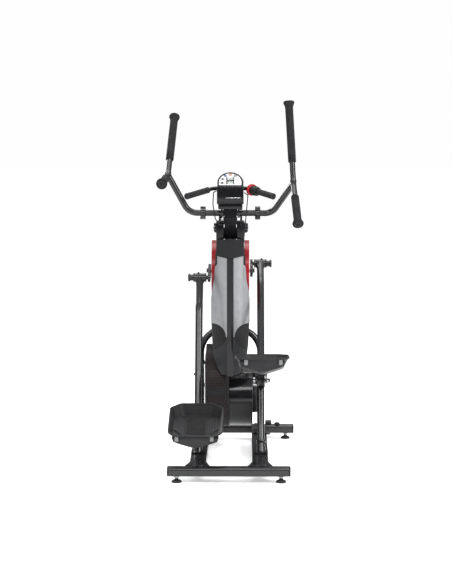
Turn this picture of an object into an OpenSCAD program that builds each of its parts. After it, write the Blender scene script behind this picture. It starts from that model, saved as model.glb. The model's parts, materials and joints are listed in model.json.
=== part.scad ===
// Vertical climber machine: two legs hang from a high crank, roll on steep rails and carry tray pedals,
// two long swinging handles are linked to the same crank, and a fan with a brake disc turns low in front.
// Origin on the floor under the middle of the base, +Y forward, +X to the user's right, +Z up.

/* [Base] */
// Distance between the front and rear rows of feet
foot_spacing = 1050; // [960:5:1270]
// Length of the rear stabilizer
rear_bar_len = 507; // [430:1:610]
// Length of the front stabilizer
front_bar_len = 587; // [500:1:700]
// Depth of a stabilizer, front to back
bar_d = 56; // [44:1:66]
// Height of the stabilizers and the base rails
bar_h = 38; // [32:1:46]
// Clear height under the stabilizers
bar_clear = 28; // [24:1:34]
// Width of a base rail
base_rail_w = 68; // [58:1:80]
// Wall of the base tubes
base_wall = 3; // [2:0.5:5]
// Radius of a levelling foot
foot_r = 21.5; // [18:0.5:25]
// Radius of a transport wheel
wheel_r = 24; // [20:1:28]

/* [Stride] */
// Distance between the centre planes of the two legs
track = 270; // [262:1:330]
// Throw of the crank arms
crank_throw = 143; // [115:1:165]
// Angle of the right crank arm above level at rest
crank_angle = 8.3; // [0:0.1:12]
// Length of a leg from its crank pin to its roller axle
leg_len = 684; // [640:1:760]
// Distance from the crank pin down to the bend of a leg
leg_bend_at = 178; // [140:1:220]
// Angle of a leg's upper end from the line of the leg
leg_bend_angle = 20; // [10:1:24]
// Radius of a leg tube
leg_r = 16; // [13:0.5:18]
// Slope of the inclined rails above level
rail_slope = 62; // [58:0.5:66]
// Radius of an inclined rail
rail_r = 15; // [12:0.5:17]
// Radius of a roller where it runs on its rail
roller_r = 23; // [19:0.5:26]
// Width of a roller
roller_w = 34; // [26:1:36]
// Distance of the rail feet behind the crank axis
rail_foot_back = 470; // [430:5:510]

/* [Pedals] */
// Width of a pedal tray over its rim
pedal_w = 226; // [188:1:232]
// Length of a pedal tray
pedal_len = 325; // [270:1:392]
// Height of the wall at a pedal's toe end
toe_wall = 58; // [46:1:70]
// Height of the rim at a pedal's heel end
heel_wall = 16; // [12:1:26]
// Slope of the tread against the line of the leg
tread_angle = 34.7; // [28:0.1:40]

/* [Uprights] */
// Distance of the crank axis behind the front feet
crank_back = 255; // [235:5:275]
// Height of the crank axis
crank_z = 811; // [760:1:980]
// Height of the handle pivot above the crank axis
pivot_rise = 265; // [240:1:320]
// Distance of the handle pivot behind the crank axis
pivot_back = 120; // [100:1:140]
// Distance of the brace arch ahead of the crank axis
brace_ahead = 30; // [20:1:40]
// Radius of the brace arch's tube
brace_r = 15; // [12:0.5:17]
// Width of the mast
mast_w = 48; // [40:1:50]
// Depth of the mast, front to back
mast_d = 60; // [50:1:70]

/* [Drive] */
// Pitch radius of the crank wheel
crank_wheel_r = 115; // [100:1:120]
// Pitch radius of the idler's driven pulley
idler_small_r = 30; // [24:1:36]
// Pitch radius of the idler's driving pulley
idler_large_r = 55; // [45:1:62]
// Pitch radius of the fan pulley
fan_pulley_r = 25; // [20:1:30]
// Height of the fan axis
fan_z = 285; // [275:1:320]
// Radius of the fan wheel
fan_r = 170; // [140:1:178]
// Number of fan blades
blade_count = 20; // [12:1:28]
// Radius of the fan's drum cover
drum_r = 186; // [183:1:195]
// Thickness of a belt
belt_t = 3; // [2:0.5:4]

/* [Handles] */
// Swing of a handle either side of its middle
swing = 17; // [12:0.5:20]
// Length of the rocker arms between the handles and the links
rocker_len = 90; // [75:1:100]
// Radius of the handle tubes
handle_r = 14; // [12:0.5:15]
// Radius of the foam grips
grip_r = 17.5; // [16:0.5:20]
// Radius of a grip's flared end
grip_flare_r = 25; // [22:0.5:28]
// Outer place of the handle clamps
clamp_x = 122; // [116:1:132]

/* [Console] */
// Width of the console
console_w = 114; // [100:1:122]
// Height of the console's face along its slope
console_h = 80; // [72:1:92]
// Lean of the console's face from upright
console_lean = 40; // [30:1:45]
// Radius of the fixed front bar
aero_r = 9; // [8:0.5:10]
// Travel of a console button
button_travel = 1.5; // [1:0.1:2]

/* [Hidden] */
$fn = 48;

RIGHT = 1;
LEFT = -1;
TOUCH = 0.01;       // shortest step used only to carry a cut past a face
run_gap = 0.05;     // radial clearance of a shaft that turns in a bore
side_gap = 0.4;     // clearance between pieces that slide past each other
shell = 3;          // wall of the moulded covers
strap_sink = 0.3;   // straight edges of a strap shape lie this far inside its end circles
bend_lap = 2;       // a straight run of tube reaches this far into a bend
bend_swell = 0.2;   // a bend is this much fuller than the straight runs

// Base: the origin is in the middle of the whole length, transport wheels included
base_top = bar_clear + bar_h;
wheel_gap = 2;
wheel_reach = wheel_gap + 2 * wheel_r;
rear_y = -(foot_spacing + wheel_reach) / 2;
front_y = rear_y + foot_spacing;
base_rail_x = track / 2 - 5;
crank_y = front_y - crank_back;
brace_y = crank_y + brace_ahead;
rail_foot_y = crank_y - rail_foot_back;

// Linkage in the (Y, Z) plane
crank = [crank_y, crank_z];
pivot = [crank_y - pivot_back, crank_z + pivot_rise];
rail_dir = [cos(rail_slope), sin(rail_slope)];
rail_up = [-sin(rail_slope), cos(rail_slope)];
rail_foot = [rail_foot_y, base_top];
roller_line = rail_foot + rail_up * (rail_r + roller_r);
function pin(side) = crank + side * crank_throw * [cos(crank_angle), sin(crank_angle)];
function climb(side) =
    let (reach = pin(side) - roller_line, along = reach * rail_dir)
    along - sqrt(leg_len * leg_len - (reach * reach - along * along));
function roller(side) = roller_line + climb(side) * rail_dir;
function lean(side) = let (chord = pin(side) - roller(side)) atan2(chord.x, chord.y);

// Rail, arch and mast
rail_bend = 60;
rail_spare = 18;
rail_corner = rail_foot + rail_dir * (climb(RIGHT) + rail_spare + rail_bend * tan(rail_slope / 2));
arch_bend = track / 2 - 27;
arch_rise = 151;
arch_top = rail_corner.y + arch_rise;
idler = [brace_y, arch_top + brace_r + idler_large_r + 27];
fan = [brace_y, fan_z];
mast_head = pivot + [0, 112];

// Slabs across the machine, each as [inner, outer] distance from the middle plane
wheel_slab = [28, 41];
rocker_slab = [34, 42];
link_slab = [43, 52.6];
eccentric_slab = [53, 61];
shroud_slab = [62.5, 84];
arm_slab = [88, 100];
shaft_r = 10;
pin_r = 9;
axle_r = 8;
link_pin_r = 6;
eccentric_off = rocker_len * sin(swing);
eye_r = shaft_r + eccentric_off + 14;

// Spine covers are bent round one upright axis
spine_r = 103;
spine_y = crank_y - 72;
spine_top = crank_z + 112;
spine_low = crank_z - 452;

// Console frame
console_at = [0, pivot.x - 55, pivot.y + 119];
console_t = 30;
aero_y = pivot.x;
aero_z = pivot.y + 109;

steel_black = [0.05, 0.05, 0.055];
gloss_black = [0.03, 0.03, 0.03];
plastic_black = [0.09, 0.09, 0.095];
foam_black = [0.12, 0.12, 0.12];
bare_steel = [0.7, 0.7, 0.72];
silver_grey = [0.66, 0.67, 0.68];
dark_grey = [0.2, 0.2, 0.21];
signal_red = [0.7, 0.07, 0.08];

// ---------------------------------------------------------------- helpers

function unit(v) = v / norm(v);
function bend_between(a, b, c) = acos(unit(b - a) * unit(c - b));
function trim_at(points, i, bend) =
    (i == 0 || i == len(points) - 1) ? 0 : bend * tan(bend_between(points[i - 1], points[i], points[i + 1]) / 2);

module ring(r, wall) {
    difference() {
        circle(r);
        if (wall < r) circle(r - wall);
    }
}

// Carries children from the Z axis onto the line from p towards q
module along(p, q) {
    d = q - p;
    translate(p) rotate([0, acos(d.z / norm(d)), atan2(d.y, d.x)]) children();
}

module straight_tube(p, q, r, wall) {
    along(p, q) linear_extrude(norm(q - p)) ring(r, wall);
}

module elbow(a, b, c, bend, r, wall) {
    into = unit(b - a);
    axis = unit(cross(into, unit(c - b)));
    inward = cross(axis, into);
    centre = b - into * bend * tan(bend_between(a, b, c) / 2) + inward * bend;
    multmatrix([
        [-inward.x, into.x, axis.x, centre.x],
        [-inward.y, into.y, axis.y, centre.y],
        [-inward.z, into.z, axis.z, centre.z],
        [0, 0, 0, 1]])
        rotate_extrude(angle = bend_between(a, b, c)) translate([bend, 0]) ring(r, wall);
}

// Round bar through the points: straight runs that reach a little way into slightly fuller bends
module bent_bar(points, bend, r, past_ends) {
    last = len(points) - 1;
    for (i = [0:last - 1]) {
        step = unit(points[i + 1] - points[i]);
        from = i == 0 ? -past_ends : trim_at(points, i, bend) - bend_lap;
        to = i == last - 1 ? -past_ends : trim_at(points, i + 1, bend) - bend_lap;
        straight_tube(points[i] + step * from, points[i + 1] - step * to, r, r);
    }
    for (i = [1:last - 1])
        elbow(points[i - 1], points[i], points[i + 1], bend, r + bend_swell, r + bend_swell);
}

// Round tube through the points, with one bend radius at every inner point
module bent_tube(points, bend, r, wall) {
    difference() {
        bent_bar(points, bend, r, 0);
        bent_bar(points, bend, r - wall, 1);
    }
}

// Shapes drawn for the right side, carried to either side
module on_side(side) {
    if (side < 0) mirror([1, 0, 0]) children();
    else children();
}

// Extrudes a (Y, Z) outline across X from x0 to x1
module across(x0, x1) {
    translate([x0, 0, 0]) rotate([90, 0, 90]) linear_extrude(x1 - x0) children();
}

module cyl_x(x0, x1, at, r) {
    translate([x0, at.x, at.y]) rotate([0, 90, 0]) cylinder(h = x1 - x0, r = r);
}

module hollow_x(x0, x1, at, r, bore) {
    translate([x0, at.x, at.y]) rotate([0, 90, 0]) linear_extrude(x1 - x0) ring(r, r - bore);
}

module soft_rect(size, r) {
    translate([-size.x / 2 + r, -size.y / 2]) square([size.x - 2 * r, size.y]);
    translate([-size.x / 2, -size.y / 2 + r]) square([size.x, size.y - 2 * r]);
    for (x = [-1, 1], y = [-1, 1])
        translate([x * (size.x / 2 - r), y * (size.y / 2 - r)]) circle(r);
}

// Outline round two circles and the straight runs between them, which lie a hair inside both
module strap(a, ra, b, rb) {
    d = b - a;
    tilt = acos((ra - rb) / norm(d));
    base = atan2(d.y, d.x);
    translate(a) circle(ra);
    translate(b) circle(rb);
    polygon([for (end = [[a, ra, 1], [a, ra, -1], [b, rb, -1], [b, rb, 1]])
        end[0] + (end[1] - strap_sink) * [cos(base + end[2] * tilt), sin(base + end[2] * tilt)]]);
}

// Frame of a leg: origin on its roller axle, +Z towards its crank pin, X measured outwards
module in_leg(side) {
    on_side(side) translate([track / 2, roller(side).x, roller(side).y]) rotate([-lean(side), 0, 0]) children();
}

// Frame of a handle at its middle swing: origin on the pivot, X measured outwards
module in_handle(side) {
    on_side(side) translate([0, pivot.x, pivot.y]) rotate([side * swing, 0, 0]) children();
}

// Frame of the console's face: origin at its lower edge, +Y up the slope, +Z out towards the user
module on_console() {
    translate(console_at) rotate([90 - console_lean, 0, 0]) children();
}

// ---------------------------------------------------------------- base

module stabilizer(length, y) {
    translate([0, y, bar_clear + bar_h / 2]) rotate([0, 90, 0]) rotate([0, 0, 90])
        linear_extrude(length, center = true) difference() {
            soft_rect([bar_d, bar_h], 12);
            soft_rect([bar_d - 2 * base_wall, bar_h - 2 * base_wall], 12 - base_wall);
        }
}

cap_t = 6;

module rear_stabilizer() {
    color(steel_black) stabilizer(rear_bar_len - 2 * cap_t, rear_y);
}

module front_stabilizer() {
    color(steel_black) {
        stabilizer(front_bar_len - 2 * cap_t, front_y);
        for (side = [LEFT, RIGHT]) on_side(side) wheel_lugs();
    }
}

wheel_x = track / 2 + 40;
wheel_w = 20;
wheel_at = [front_y + bar_d / 2 + wheel_gap + wheel_r, wheel_r + 8];
lug_t = 4;

// Two ears in front of the stabilizer that hold a transport wheel
module wheel_lugs() {
    for (x = [-1, 1]) {
        inner = wheel_x + x * (wheel_w / 2 + 1 + lug_t / 2);
        difference() {
            across(inner - lug_t / 2, inner + lug_t / 2) {
                translate(wheel_at) circle(10);
                translate([front_y + bar_d / 2, bar_clear + 4])
                    square([wheel_at.x - front_y - bar_d / 2, wheel_at.y + 6 - bar_clear]);
            }
            cyl_x(inner - lug_t, inner + lug_t, wheel_at, axle_bore_r);
        }
    }
}

axle_bore_r = 4;

module transport_wheels() {
    color(plastic_black) for (side = [LEFT, RIGHT]) on_side(side) {
        hollow_x(wheel_x - wheel_w / 2, wheel_x + wheel_w / 2, wheel_at, wheel_r, wheel_r - 6);
        hollow_x(wheel_x - 4, wheel_x + 4, wheel_at, wheel_r - 6, axle_bore_r - run_gap);
        cyl_x(wheel_x - wheel_w / 2 - lug_t - 2, wheel_x + wheel_w / 2 + lug_t + 2, wheel_at,
            axle_bore_r - run_gap);
    }
}

module stabilizer_caps() {
    color(plastic_black)
        for (bar = [[rear_bar_len, rear_y], [front_bar_len, front_y]], side = [LEFT, RIGHT]) on_side(side)
            translate([bar[0] / 2 - cap_t, bar[1], bar_clear + bar_h / 2]) rotate([0, 90, 0]) rotate([0, 0, 90])
                linear_extrude(cap_t) soft_rect([bar_d, bar_h], 12);
}

module levelling_feet() {
    foot_in = 39;
    stem_r = 5;
    color(plastic_black)
        for (bar = [[rear_bar_len, rear_y], [front_bar_len, front_y]], side = [LEFT, RIGHT]) on_side(side)
            translate([bar[0] / 2 - foot_in, bar[1], 0]) rotate_extrude() polygon([
                [0, 0], [foot_r, 0], [foot_r, 5], [foot_r - 3, 9], [9, 13], [9, 18], [stem_r, 18],
                [stem_r, bar_clear], [0, bar_clear]]);
}

// Box rail that flares out where it meets the rear stabilizer
module base_rail(side) {
    rear = rear_y + bar_d / 2;
    front = front_y - bar_d / 2;
    half = base_rail_w / 2;
    flare = 16;
    color(steel_black) on_side(side) translate([base_rail_x, 0, bar_clear]) difference() {
        linear_extrude(bar_h) polygon([
            [-half - flare, rear], [half + flare, rear], [half, rear + 90], [half, front],
            [-half, front], [-half, rear + 90]]);
        translate([-half + base_wall, rear - 1, base_wall])
            cube([base_rail_w - 2 * base_wall, front - rear + 2, bar_h - 2 * base_wall]);
    }
}

module right_base_rail() { base_rail(RIGHT); }
module left_base_rail() { base_rail(LEFT); }

// ---------------------------------------------------------------- rails, arch and mast

// Rail foot plate, steep tube, and the bend that carries the tube forward to the arch
module inclined_rail(side) {
    x = track / 2;
    plate = 6;
    toe = rail_foot - rail_dir * 40;
    color(steel_black) on_side(side) {
        difference() {
            bent_tube([[x, toe.x, toe.y], [x, rail_corner.x, rail_corner.y], [x, brace_y, rail_corner.y]],
                rail_bend, rail_r, 2.5);
            translate([x - 50, toe.x - 50, 0]) cube([100, 200, base_top + plate]);
            translate([x, brace_y, rail_corner.y - 40]) cylinder(h = 80, r = brace_r);
        }
        difference() {
            translate([x - 29, rail_foot.x - 38, base_top]) cube([58, 84, plate]);
            for (y = [-28, 36]) translate([x, rail_foot.x + y, base_top - 1]) cylinder(h = plate + 2, r = 4.5);
        }
        intersection() {
            translate([0, 0, base_top + plate]) linear_extrude(22)
                translate([x - 40, rail_foot.x - 60]) square([80, 140]);
            straight_tube([x, toe.x, toe.y], [x, rail_corner.x, rail_corner.y], rail_r + 3.5, 3.5);
        }
    }
}

module right_rail() { inclined_rail(RIGHT); }
module left_rail() { inclined_rail(LEFT); }

module brace_arch() {
    x = track / 2;
    color(steel_black) {
        bent_tube([[-x, brace_y, base_top + 6], [-x, brace_y, arch_top], [x, brace_y, arch_top],
            [x, brace_y, base_top + 6]], arch_bend, brace_r, 2.5);
        for (side = [LEFT, RIGHT]) on_side(side)
            translate([x - 29, brace_y - 32, base_top]) cube([58, 64, 6]);
    }
}

function mast_line() = [
    [brace_y, arch_top], [crank_y, crank_z], pivot, [pivot.x, mast_head.y - 38], [pivot.x + 2, mast_head.y]];
function mast_depth(i) = [mast_d, mast_d, 52, 40, 36][i];

module mast_outline(inset) {
    line = mast_line();
    polygon(concat(
        [for (i = [0:len(line) - 1]) line[i] - [mast_depth(i) / 2 - inset, 0]],
        [for (i = [len(line) - 1:-1:0]) line[i] + [mast_depth(i) / 2 - inset, 0]]));
}

bearing_r = 21;

module mast() {
    color(steel_black) difference() {
        union() {
            difference() {
                across(-mast_w / 2, mast_w / 2) mast_outline(0);
                across(-mast_w / 2 + base_wall, mast_w / 2 - base_wall) mast_outline(base_wall);
            }
            cyl_x(-mast_w / 2, mast_w / 2, crank, bearing_r + 6);
            cyl_x(-mast_w / 2, mast_w / 2, idler, axle_r + 8);
            cyl_x(-mast_w / 2, mast_w / 2, pivot, handle_axle_r + 9);
            cyl_x(-mast_w / 2, mast_w / 2, [aero_y, aero_z], aero_r + 5);
        }
        cyl_x(-mast_w, mast_w, crank, bearing_r);
        cyl_x(-mast_w, mast_w, idler, axle_r);
        cyl_x(-mast_w, mast_w, pivot, handle_axle_r);
        cyl_x(-mast_w, mast_w, [aero_y, aero_z], aero_r);
        cyl_x(-mast_w, mast_w, [brace_y, arch_top], brace_r);
        translate([-mast_w, 0, 0]) cube([2 * mast_w, 2 * brace_y, arch_top]);
    }
}

// Two sealed bearings pressed into the ends of the crank housing
module crank_bearings() {
    width = 12;
    color(bare_steel) for (side = [LEFT, RIGHT]) on_side(side)
        hollow_x(mast_w / 2 - width, mast_w / 2, crank, bearing_r, shaft_r + run_gap);
}

// Fixed spindles of the idler, the fan and the handles
module axles() {
    color(bare_steel) {
        cyl_x(-wheel_slab[1] - 4, wheel_slab[1] + 4, idler, axle_r);
        cyl_x(-track / 2 + brace_r, track / 2 - brace_r, fan, axle_r);
        cyl_x(-clamp_x + 8, clamp_x - 8, pivot, handle_axle_r);
    }
}

// ---------------------------------------------------------------- drive

pulley_w = wheel_slab[1] - wheel_slab[0];

// Flat pulley with two thin flanges, from x0 outwards
module pulley(x0, at, r, bore) {
    flange = 1.5;
    difference() {
        union() {
            cyl_x(x0, x0 + pulley_w, at, r);
            cyl_x(x0, x0 + flange, at, r + belt_t + 2);
            cyl_x(x0 + pulley_w - flange, x0 + pulley_w, at, r + belt_t + 2);
        }
        cyl_x(x0 - 1, x0 + pulley_w + 1, at, bore);
    }
}

module belt(x0, a, ra, b, rb) {
    slack = 0.3 + strap_sink;
    across(x0 + 2, x0 + pulley_w - 2) difference() {
        strap(a, ra + slack + belt_t, b, rb + slack + belt_t);
        strap(a, ra + slack, b, rb + slack);
    }
}

module crank_wheel() {
    web_holes = 5;
    color(plastic_black) difference() {
        pulley(-wheel_slab[1], crank, crank_wheel_r, shaft_r);
        for (i = [0:web_holes - 1])
            cyl_x(-wheel_slab[1] - 1, -wheel_slab[0] + 1,
                crank + 0.6 * crank_wheel_r * [cos(i * 360 / web_holes), sin(i * 360 / web_holes)], 24);
    }
}

module idler_pulley() {
    color(bare_steel) {
        pulley(-wheel_slab[1], idler, idler_small_r, axle_r + run_gap);
        pulley(wheel_slab[0], idler, idler_large_r, axle_r + run_gap);
    }
}

module upper_belt() {
    color(plastic_black) belt(-wheel_slab[1], crank, crank_wheel_r, idler, idler_small_r);
}

module lower_belt() {
    color(plastic_black) belt(wheel_slab[0], idler, idler_large_r, fan, fan_pulley_r);
}

rotor_r = 80;
rotor_slab = [8, 13];

// Fan with curved rim blades on the left, brake rotor and belt pulley on the right
module fan_wheel() {
    back_plate = [-56, -53];
    hub_r = 16;
    color(bare_steel) {
        hollow_x(-104, wheel_slab[0], fan, hub_r, axle_r + run_gap);
        hollow_x(back_plate[0], back_plate[1], fan, fan_r, hub_r);
        hollow_x(rotor_slab[0], rotor_slab[1], fan, rotor_r, hub_r);
        pulley(wheel_slab[0], fan, fan_pulley_r, axle_r + run_gap);
        for (i = [0:blade_count - 1])
            translate([0, fan.x, fan.y]) rotate([i * 360 / blade_count, 0, 0])
                translate([-104, fan_r - 48, -1]) rotate([14, 0, 0]) cube([104 + back_plate[0], 46, 2]);
    }
}

brake_pivot = fan + [0, -rotor_r - 18];

// Forked carrier that brings two magnets over the rim of the rotor
module brake_bracket() {
    cheek = 4;
    color(bare_steel) difference() {
        union() {
            for (x = [rotor_slab[0] - cheek - 3, rotor_slab[1] + 3]) across(x, x + cheek)
                strap(brake_pivot, 9, brake_pivot + [56, 30], 14);
            cyl_x(rotor_slab[0] - cheek - 3, rotor_slab[1] + cheek + 3, brake_pivot, 8);
        }
        cyl_x(-20, 40, brake_pivot, 5 + run_gap);
    }
}

// ---------------------------------------------------------------- fan housing

drum_slab = [-109, -6];
cover_slab = [-5.6, 100];

// Drum over the fan: a side face with an air ring and a rim pierced by rows of holes
module fan_grille() {
    rows = 3;
    holes = 26;
    color(plastic_black) difference() {
        cyl_x(drum_slab[0], drum_slab[1], fan, drum_r);
        cyl_x(drum_slab[0] + shell, drum_slab[1] + 1, fan, drum_r - shell);
        cyl_x(drum_slab[0] - 1, drum_slab[0] + shell + 1, fan, axle_r + 3);
        for (i = [0:holes - 1], row = [0:rows - 1])
            translate([drum_slab[0] + 26 + row * 27, fan.x, fan.y])
                rotate([(i + row / 2) * 360 / holes, 0, 0]) translate([0, 0, drum_r - 12])
                    cylinder(h = 24, r = 9, $fn = 6);
        for (i = [0:11])
            cyl_x(drum_slab[0] - 1, drum_slab[0] + shell + 1,
                fan + 0.62 * drum_r * [cos(i * 30), sin(i * 30)], 20);
    }
}

cover_r = 130;
cover_low = [-10, -50];
cover_neck = rotor_r + 8;

// Round the rotor above and the brake bracket below
module cover_outline(inset) {
    strap(fan, cover_neck - inset, fan + cover_low, cover_r - inset);
}

// Smooth cover over the rotor and the lower belt, open on top where the belt comes down
module fan_cover() {
    color(gloss_black) difference() {
        across(cover_slab[0], cover_slab[1]) cover_outline(0);
        across(cover_slab[0] - 1, cover_slab[1] - shell) cover_outline(shell);
        cyl_x(cover_slab[1] - shell - 1, cover_slab[1] + 1, fan, axle_r + 3);
        translate([cover_slab[0] - 1, fan.x - 48, fan.y + 50])
            cube([wheel_slab[1] + 14 - cover_slab[0], 96, cover_r]);
        cyl_x(-20, cover_slab[1] - shell, brake_pivot, 5);
    }
    color(bare_steel) cyl_x(cover_slab[0] + 1, cover_slab[1] - shell, brake_pivot, 5);
}

// ---------------------------------------------------------------- crank

disc_r = 40;

// Shaft with the two eccentric discs that drive the handle links, half a turn apart
module crank_shaft() {
    color(bare_steel) {
        cyl_x(-arm_slab[1], arm_slab[1], crank, shaft_r);
        for (side = [LEFT, RIGHT]) on_side(side)
            cyl_x(eccentric_slab[0], eccentric_slab[1], crank + side * [0, eccentric_off], disc_r);
    }
}

module crank_arm(side) {
    color(steel_black) on_side(side) difference() {
        across(arm_slab[0], arm_slab[1]) strap(crank, 30, pin(side), 20);
        cyl_x(arm_slab[0] - 1, arm_slab[1] + 1, crank, shaft_r);
    }
}

module right_crank_arm() { crank_arm(RIGHT); }
module left_crank_arm() { crank_arm(LEFT); }

// ---------------------------------------------------------------- legs

leg_off = 30;               // the tube runs this far behind the roller axle
leg_foot = [0, -leg_off, 42];
leg_bend_point = [0, -leg_bend_at * sin(leg_bend_angle), leg_len - leg_bend_at * cos(leg_bend_angle)];
fork_gap = roller_w / 2 + 2;
fork_t = 6;

// Bent tube with its bearing block above and the roller fork below
module leg(side) {
    block_w = 54;
    color(steel_black) in_leg(side) {
        difference() {
            union() {
                bent_tube([leg_foot, leg_bend_point, [0, 0, leg_len]], 90, leg_r, 2.5);
                cyl_x(-block_w / 2, block_w / 2, [0, leg_len], 19);
            }
            cyl_x(-block_w / 2 + 5, block_w / 2 - 5, [0, leg_len], 13);
        }
        cyl_x(-track / 2 + arm_slab[1] + side_gap, -block_w / 2, [0, leg_len], pin_r);
        cyl_x(block_w / 2, block_w / 2 + 16, [0, leg_len], 14);
        cyl_x(block_w / 2 + 16, block_w / 2 + 25, [0, leg_len], 17);
        for (x = [-1, 1]) {
            inner = x > 0 ? fork_gap : -fork_gap - fork_t;
            difference() {
                across(inner, inner + fork_t) fork_outline();
                cyl_x(inner - 1, inner + fork_t + 1, [0, 0], axle_r + run_gap);
            }
        }
        across(-fork_gap - 1, fork_gap + 1) bridge_outline();
    }
}

module fork_outline() {
    strap([0, 0], 15, [leg_foot.y, leg_foot.z + 34], 14);
    strap([0, 0], 12, pod_heel, 9);
}

module bridge_outline() {
    translate([leg_foot.y - 21, leg_foot.z - 3]) square([42, 8]);
}

// Toe end of the tread's underside, in the leg's (Y, Z) plane
tread_toe = [-64, 20];
tread_back = [-cos(tread_angle), -sin(tread_angle)];
tread_down = [sin(tread_angle), -cos(tread_angle)];
pod_h = 26;
pod_heel = tread_toe + 95 * tread_back + (pod_h + 12) * tread_down;

module right_leg() { leg(RIGHT); }
module left_leg() { leg(LEFT); }

// Flat plan of a pedal with cut toe corners and rounded heel corners, y from -len to 0
module pedal_plan(w, length, cut, r) {
    polygon([[-w / 2, -cut], [-w / 2 + cut, 0], [w / 2 - cut, 0], [w / 2, -cut],
        [w / 2, -length + r], [w / 2 - r, -length], [-w / 2 + r, -length], [-w / 2, -length + r]]);
    for (x = [-1, 1]) translate([x * (w / 2 - r), -length + r]) circle(r, $fn = 32);
}

pedal_band = 2;
pedal_floor = 6;

module pedal_block(grow, z0, z1, flare) {
    hull() {
        translate([0, 0, z0]) linear_extrude(pedal_band)
            translate([0, grow - 12]) pedal_plan(pedal_w - 2 * flare + 2 * grow, pedal_len - 24 + 2 * grow, 34, 34);
        translate([0, 0, z1 - pedal_band]) linear_extrude(pedal_band)
            translate([0, grow]) pedal_plan(pedal_w + 2 * grow, pedal_len + 2 * grow, 46, 46);
    }
}

// Tray with flared walls, tall at the toe and low at the heel, on a pod that bolts between the forks
module pedal(side) {
    wall = 4;
    fall = atan2(toe_wall - heel_wall, pedal_len);
    in_leg(side) translate([3, tread_toe.x, tread_toe.y]) rotate([tread_angle, 0, 0]) color(plastic_black) {
        difference() {
            pedal_block(0, 0, toe_wall, 16);
            translate([0, 0, pedal_floor]) pedal_block(-wall, 0, toe_wall, 16);
            translate([-pedal_w, -pedal_len, heel_wall]) rotate([fall, 0, 0])
                translate([0, -50, 0]) cube([2 * pedal_w, 2 * pedal_len, 200]);
        }
        translate([-3, -pedal_len / 2 + 6, -pod_h]) linear_extrude(pod_h + pedal_floor / 2)
            soft_rect([2 * fork_gap - 4, pedal_len - 60], 12);
    }
}

module right_pedal() { pedal(RIGHT); }
module left_pedal() { pedal(LEFT); }

module roller_axle(side) {
    reach = fork_gap + fork_t;
    color(bare_steel) in_leg(side) {
        cyl_x(-reach - 8, reach + 8, [0, 0], axle_r);
        for (x = [-reach - 8, reach + side_gap]) cyl_x(x, x + 8 - side_gap, [0, 0], 13);
    }
}

module right_roller_axle() { roller_axle(RIGHT); }
module left_roller_axle() { roller_axle(LEFT); }

// Grooved roller whose waist rides on the round rail
module roller_wheel(side) {
    groove_r = rail_r + 0.3;
    color(plastic_black) in_leg(side) rotate([0, 90, 0]) rotate_extrude() difference() {
        translate([axle_r + run_gap, -roller_w / 2]) square([roller_r + 8 - axle_r - run_gap, roller_w]);
        translate([roller_r + rail_r, 0]) circle(groove_r);
    }
}

module right_roller() { roller_wheel(RIGHT); }
module left_roller() { roller_wheel(LEFT); }

// ---------------------------------------------------------------- handles

handle_axle_r = 9;
sleeve_in = mast_w / 2 + 8;
bar_r = 12.5;
joint_at = [276, -56, 158];
grip_top = [256, 107, 483];
grip_low = [292, -295, 52];
lever_bend = [clamp_x + 62, -6, 0];

// Sleeve on the pivot, rocker arm forward to the link, clamp, lever out to the grip bar, and the bar
module handle(side) {
    color(steel_black) in_handle(side) {
        hollow_x(sleeve_in, clamp_x, [0, 0], handle_r, handle_axle_r + run_gap);
        difference() {
            across(rocker_slab[0], rocker_slab[1]) strap([0, 0], 22, [rocker_len, 0], 14);
            cyl_x(0, 100, [0, 0], handle_r);
        }
        cyl_x(rocker_slab[1], link_slab[1], [rocker_len, 0], link_pin_r);
        difference() {
            union() {
                cyl_x(clamp_x - 10, clamp_x + 8, [0, 0], handle_r + 7);
                translate([clamp_x - 7, -9, -28]) cube([12, 18, 56]);
            }
            cyl_x(0, clamp_x + 9, [0, 0], handle_r);
        }
        difference() {
            bent_tube([[clamp_x, 0, 0], lever_bend, joint_at], 62, handle_r, 2.5);
            straight_tube(grip_low, joint_at + 0.001 * (joint_at - grip_low), bar_r, bar_r);
            straight_tube(joint_at, grip_top, bar_r, bar_r);
        }
        bent_tube([grip_low, joint_at, grip_top], 70, bar_r, 2.5);
    }
}

module right_handle() { handle(RIGHT); }
module left_handle() { handle(LEFT); }

// Foam sleeve from p towards q with a flared end at p
module foam_grip(p, q, bore) {
    length = norm(q - p);
    along(p, q) rotate_extrude() polygon([
        [0, -6], [grip_flare_r - 6, -6], [grip_flare_r, 0], [grip_flare_r, 14], [grip_r + 2, 44],
        [grip_r, 46], [grip_r, length], [bore, length], [bore, 0], [0, 0]]);
}

module handle_grips(side) {
    up = grip_top + unit(joint_at - grip_top) * 272;
    low = grip_low + unit(joint_at - grip_low) * 176;
    color(foam_black) in_handle(side) {
        foam_grip(grip_top, up, bar_r + 0.1);
        foam_grip(grip_low, low, bar_r + 0.1);
    }
}

module right_handle_grips() { handle_grips(RIGHT); }
module left_handle_grips() { handle_grips(LEFT); }

function rocker_end(side) = pivot + rocker_len * [cos(side * swing), sin(side * swing)];

// Flat connecting link from a rocker arm down to its eccentric
module link(side) {
    top = rocker_end(side);
    low = crank + side * [0, eccentric_off];
    color(steel_black) on_side(side) difference() {
        across(link_slab[0], link_slab[1]) {
            translate(top) circle(14);
            translate(low) circle(eye_r);
            strap(top, 8, low, 8);
        }
        cyl_x(link_slab[0] - 1, link_slab[1] + 1, top, link_pin_r + run_gap);
        cyl_x(link_slab[0] - 1, link_slab[1] + 1, low, eye_r - 9);
    }
}

module right_link() { link(RIGHT); }
module left_link() { link(LEFT); }

// Leads at both sides of the neck, as distances from the pivot: display lead on the left, brake cable on the right
display_lead = [[-61, -30, 98], [-74, -30, 93], [-77, -30, 40], [-66, -30, -24], [-48, -28, -50], [-33, -27, -52]];
brake_cable = [[61, -30, 92], [78, -30, 80], [57, 0, -150]];

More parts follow.
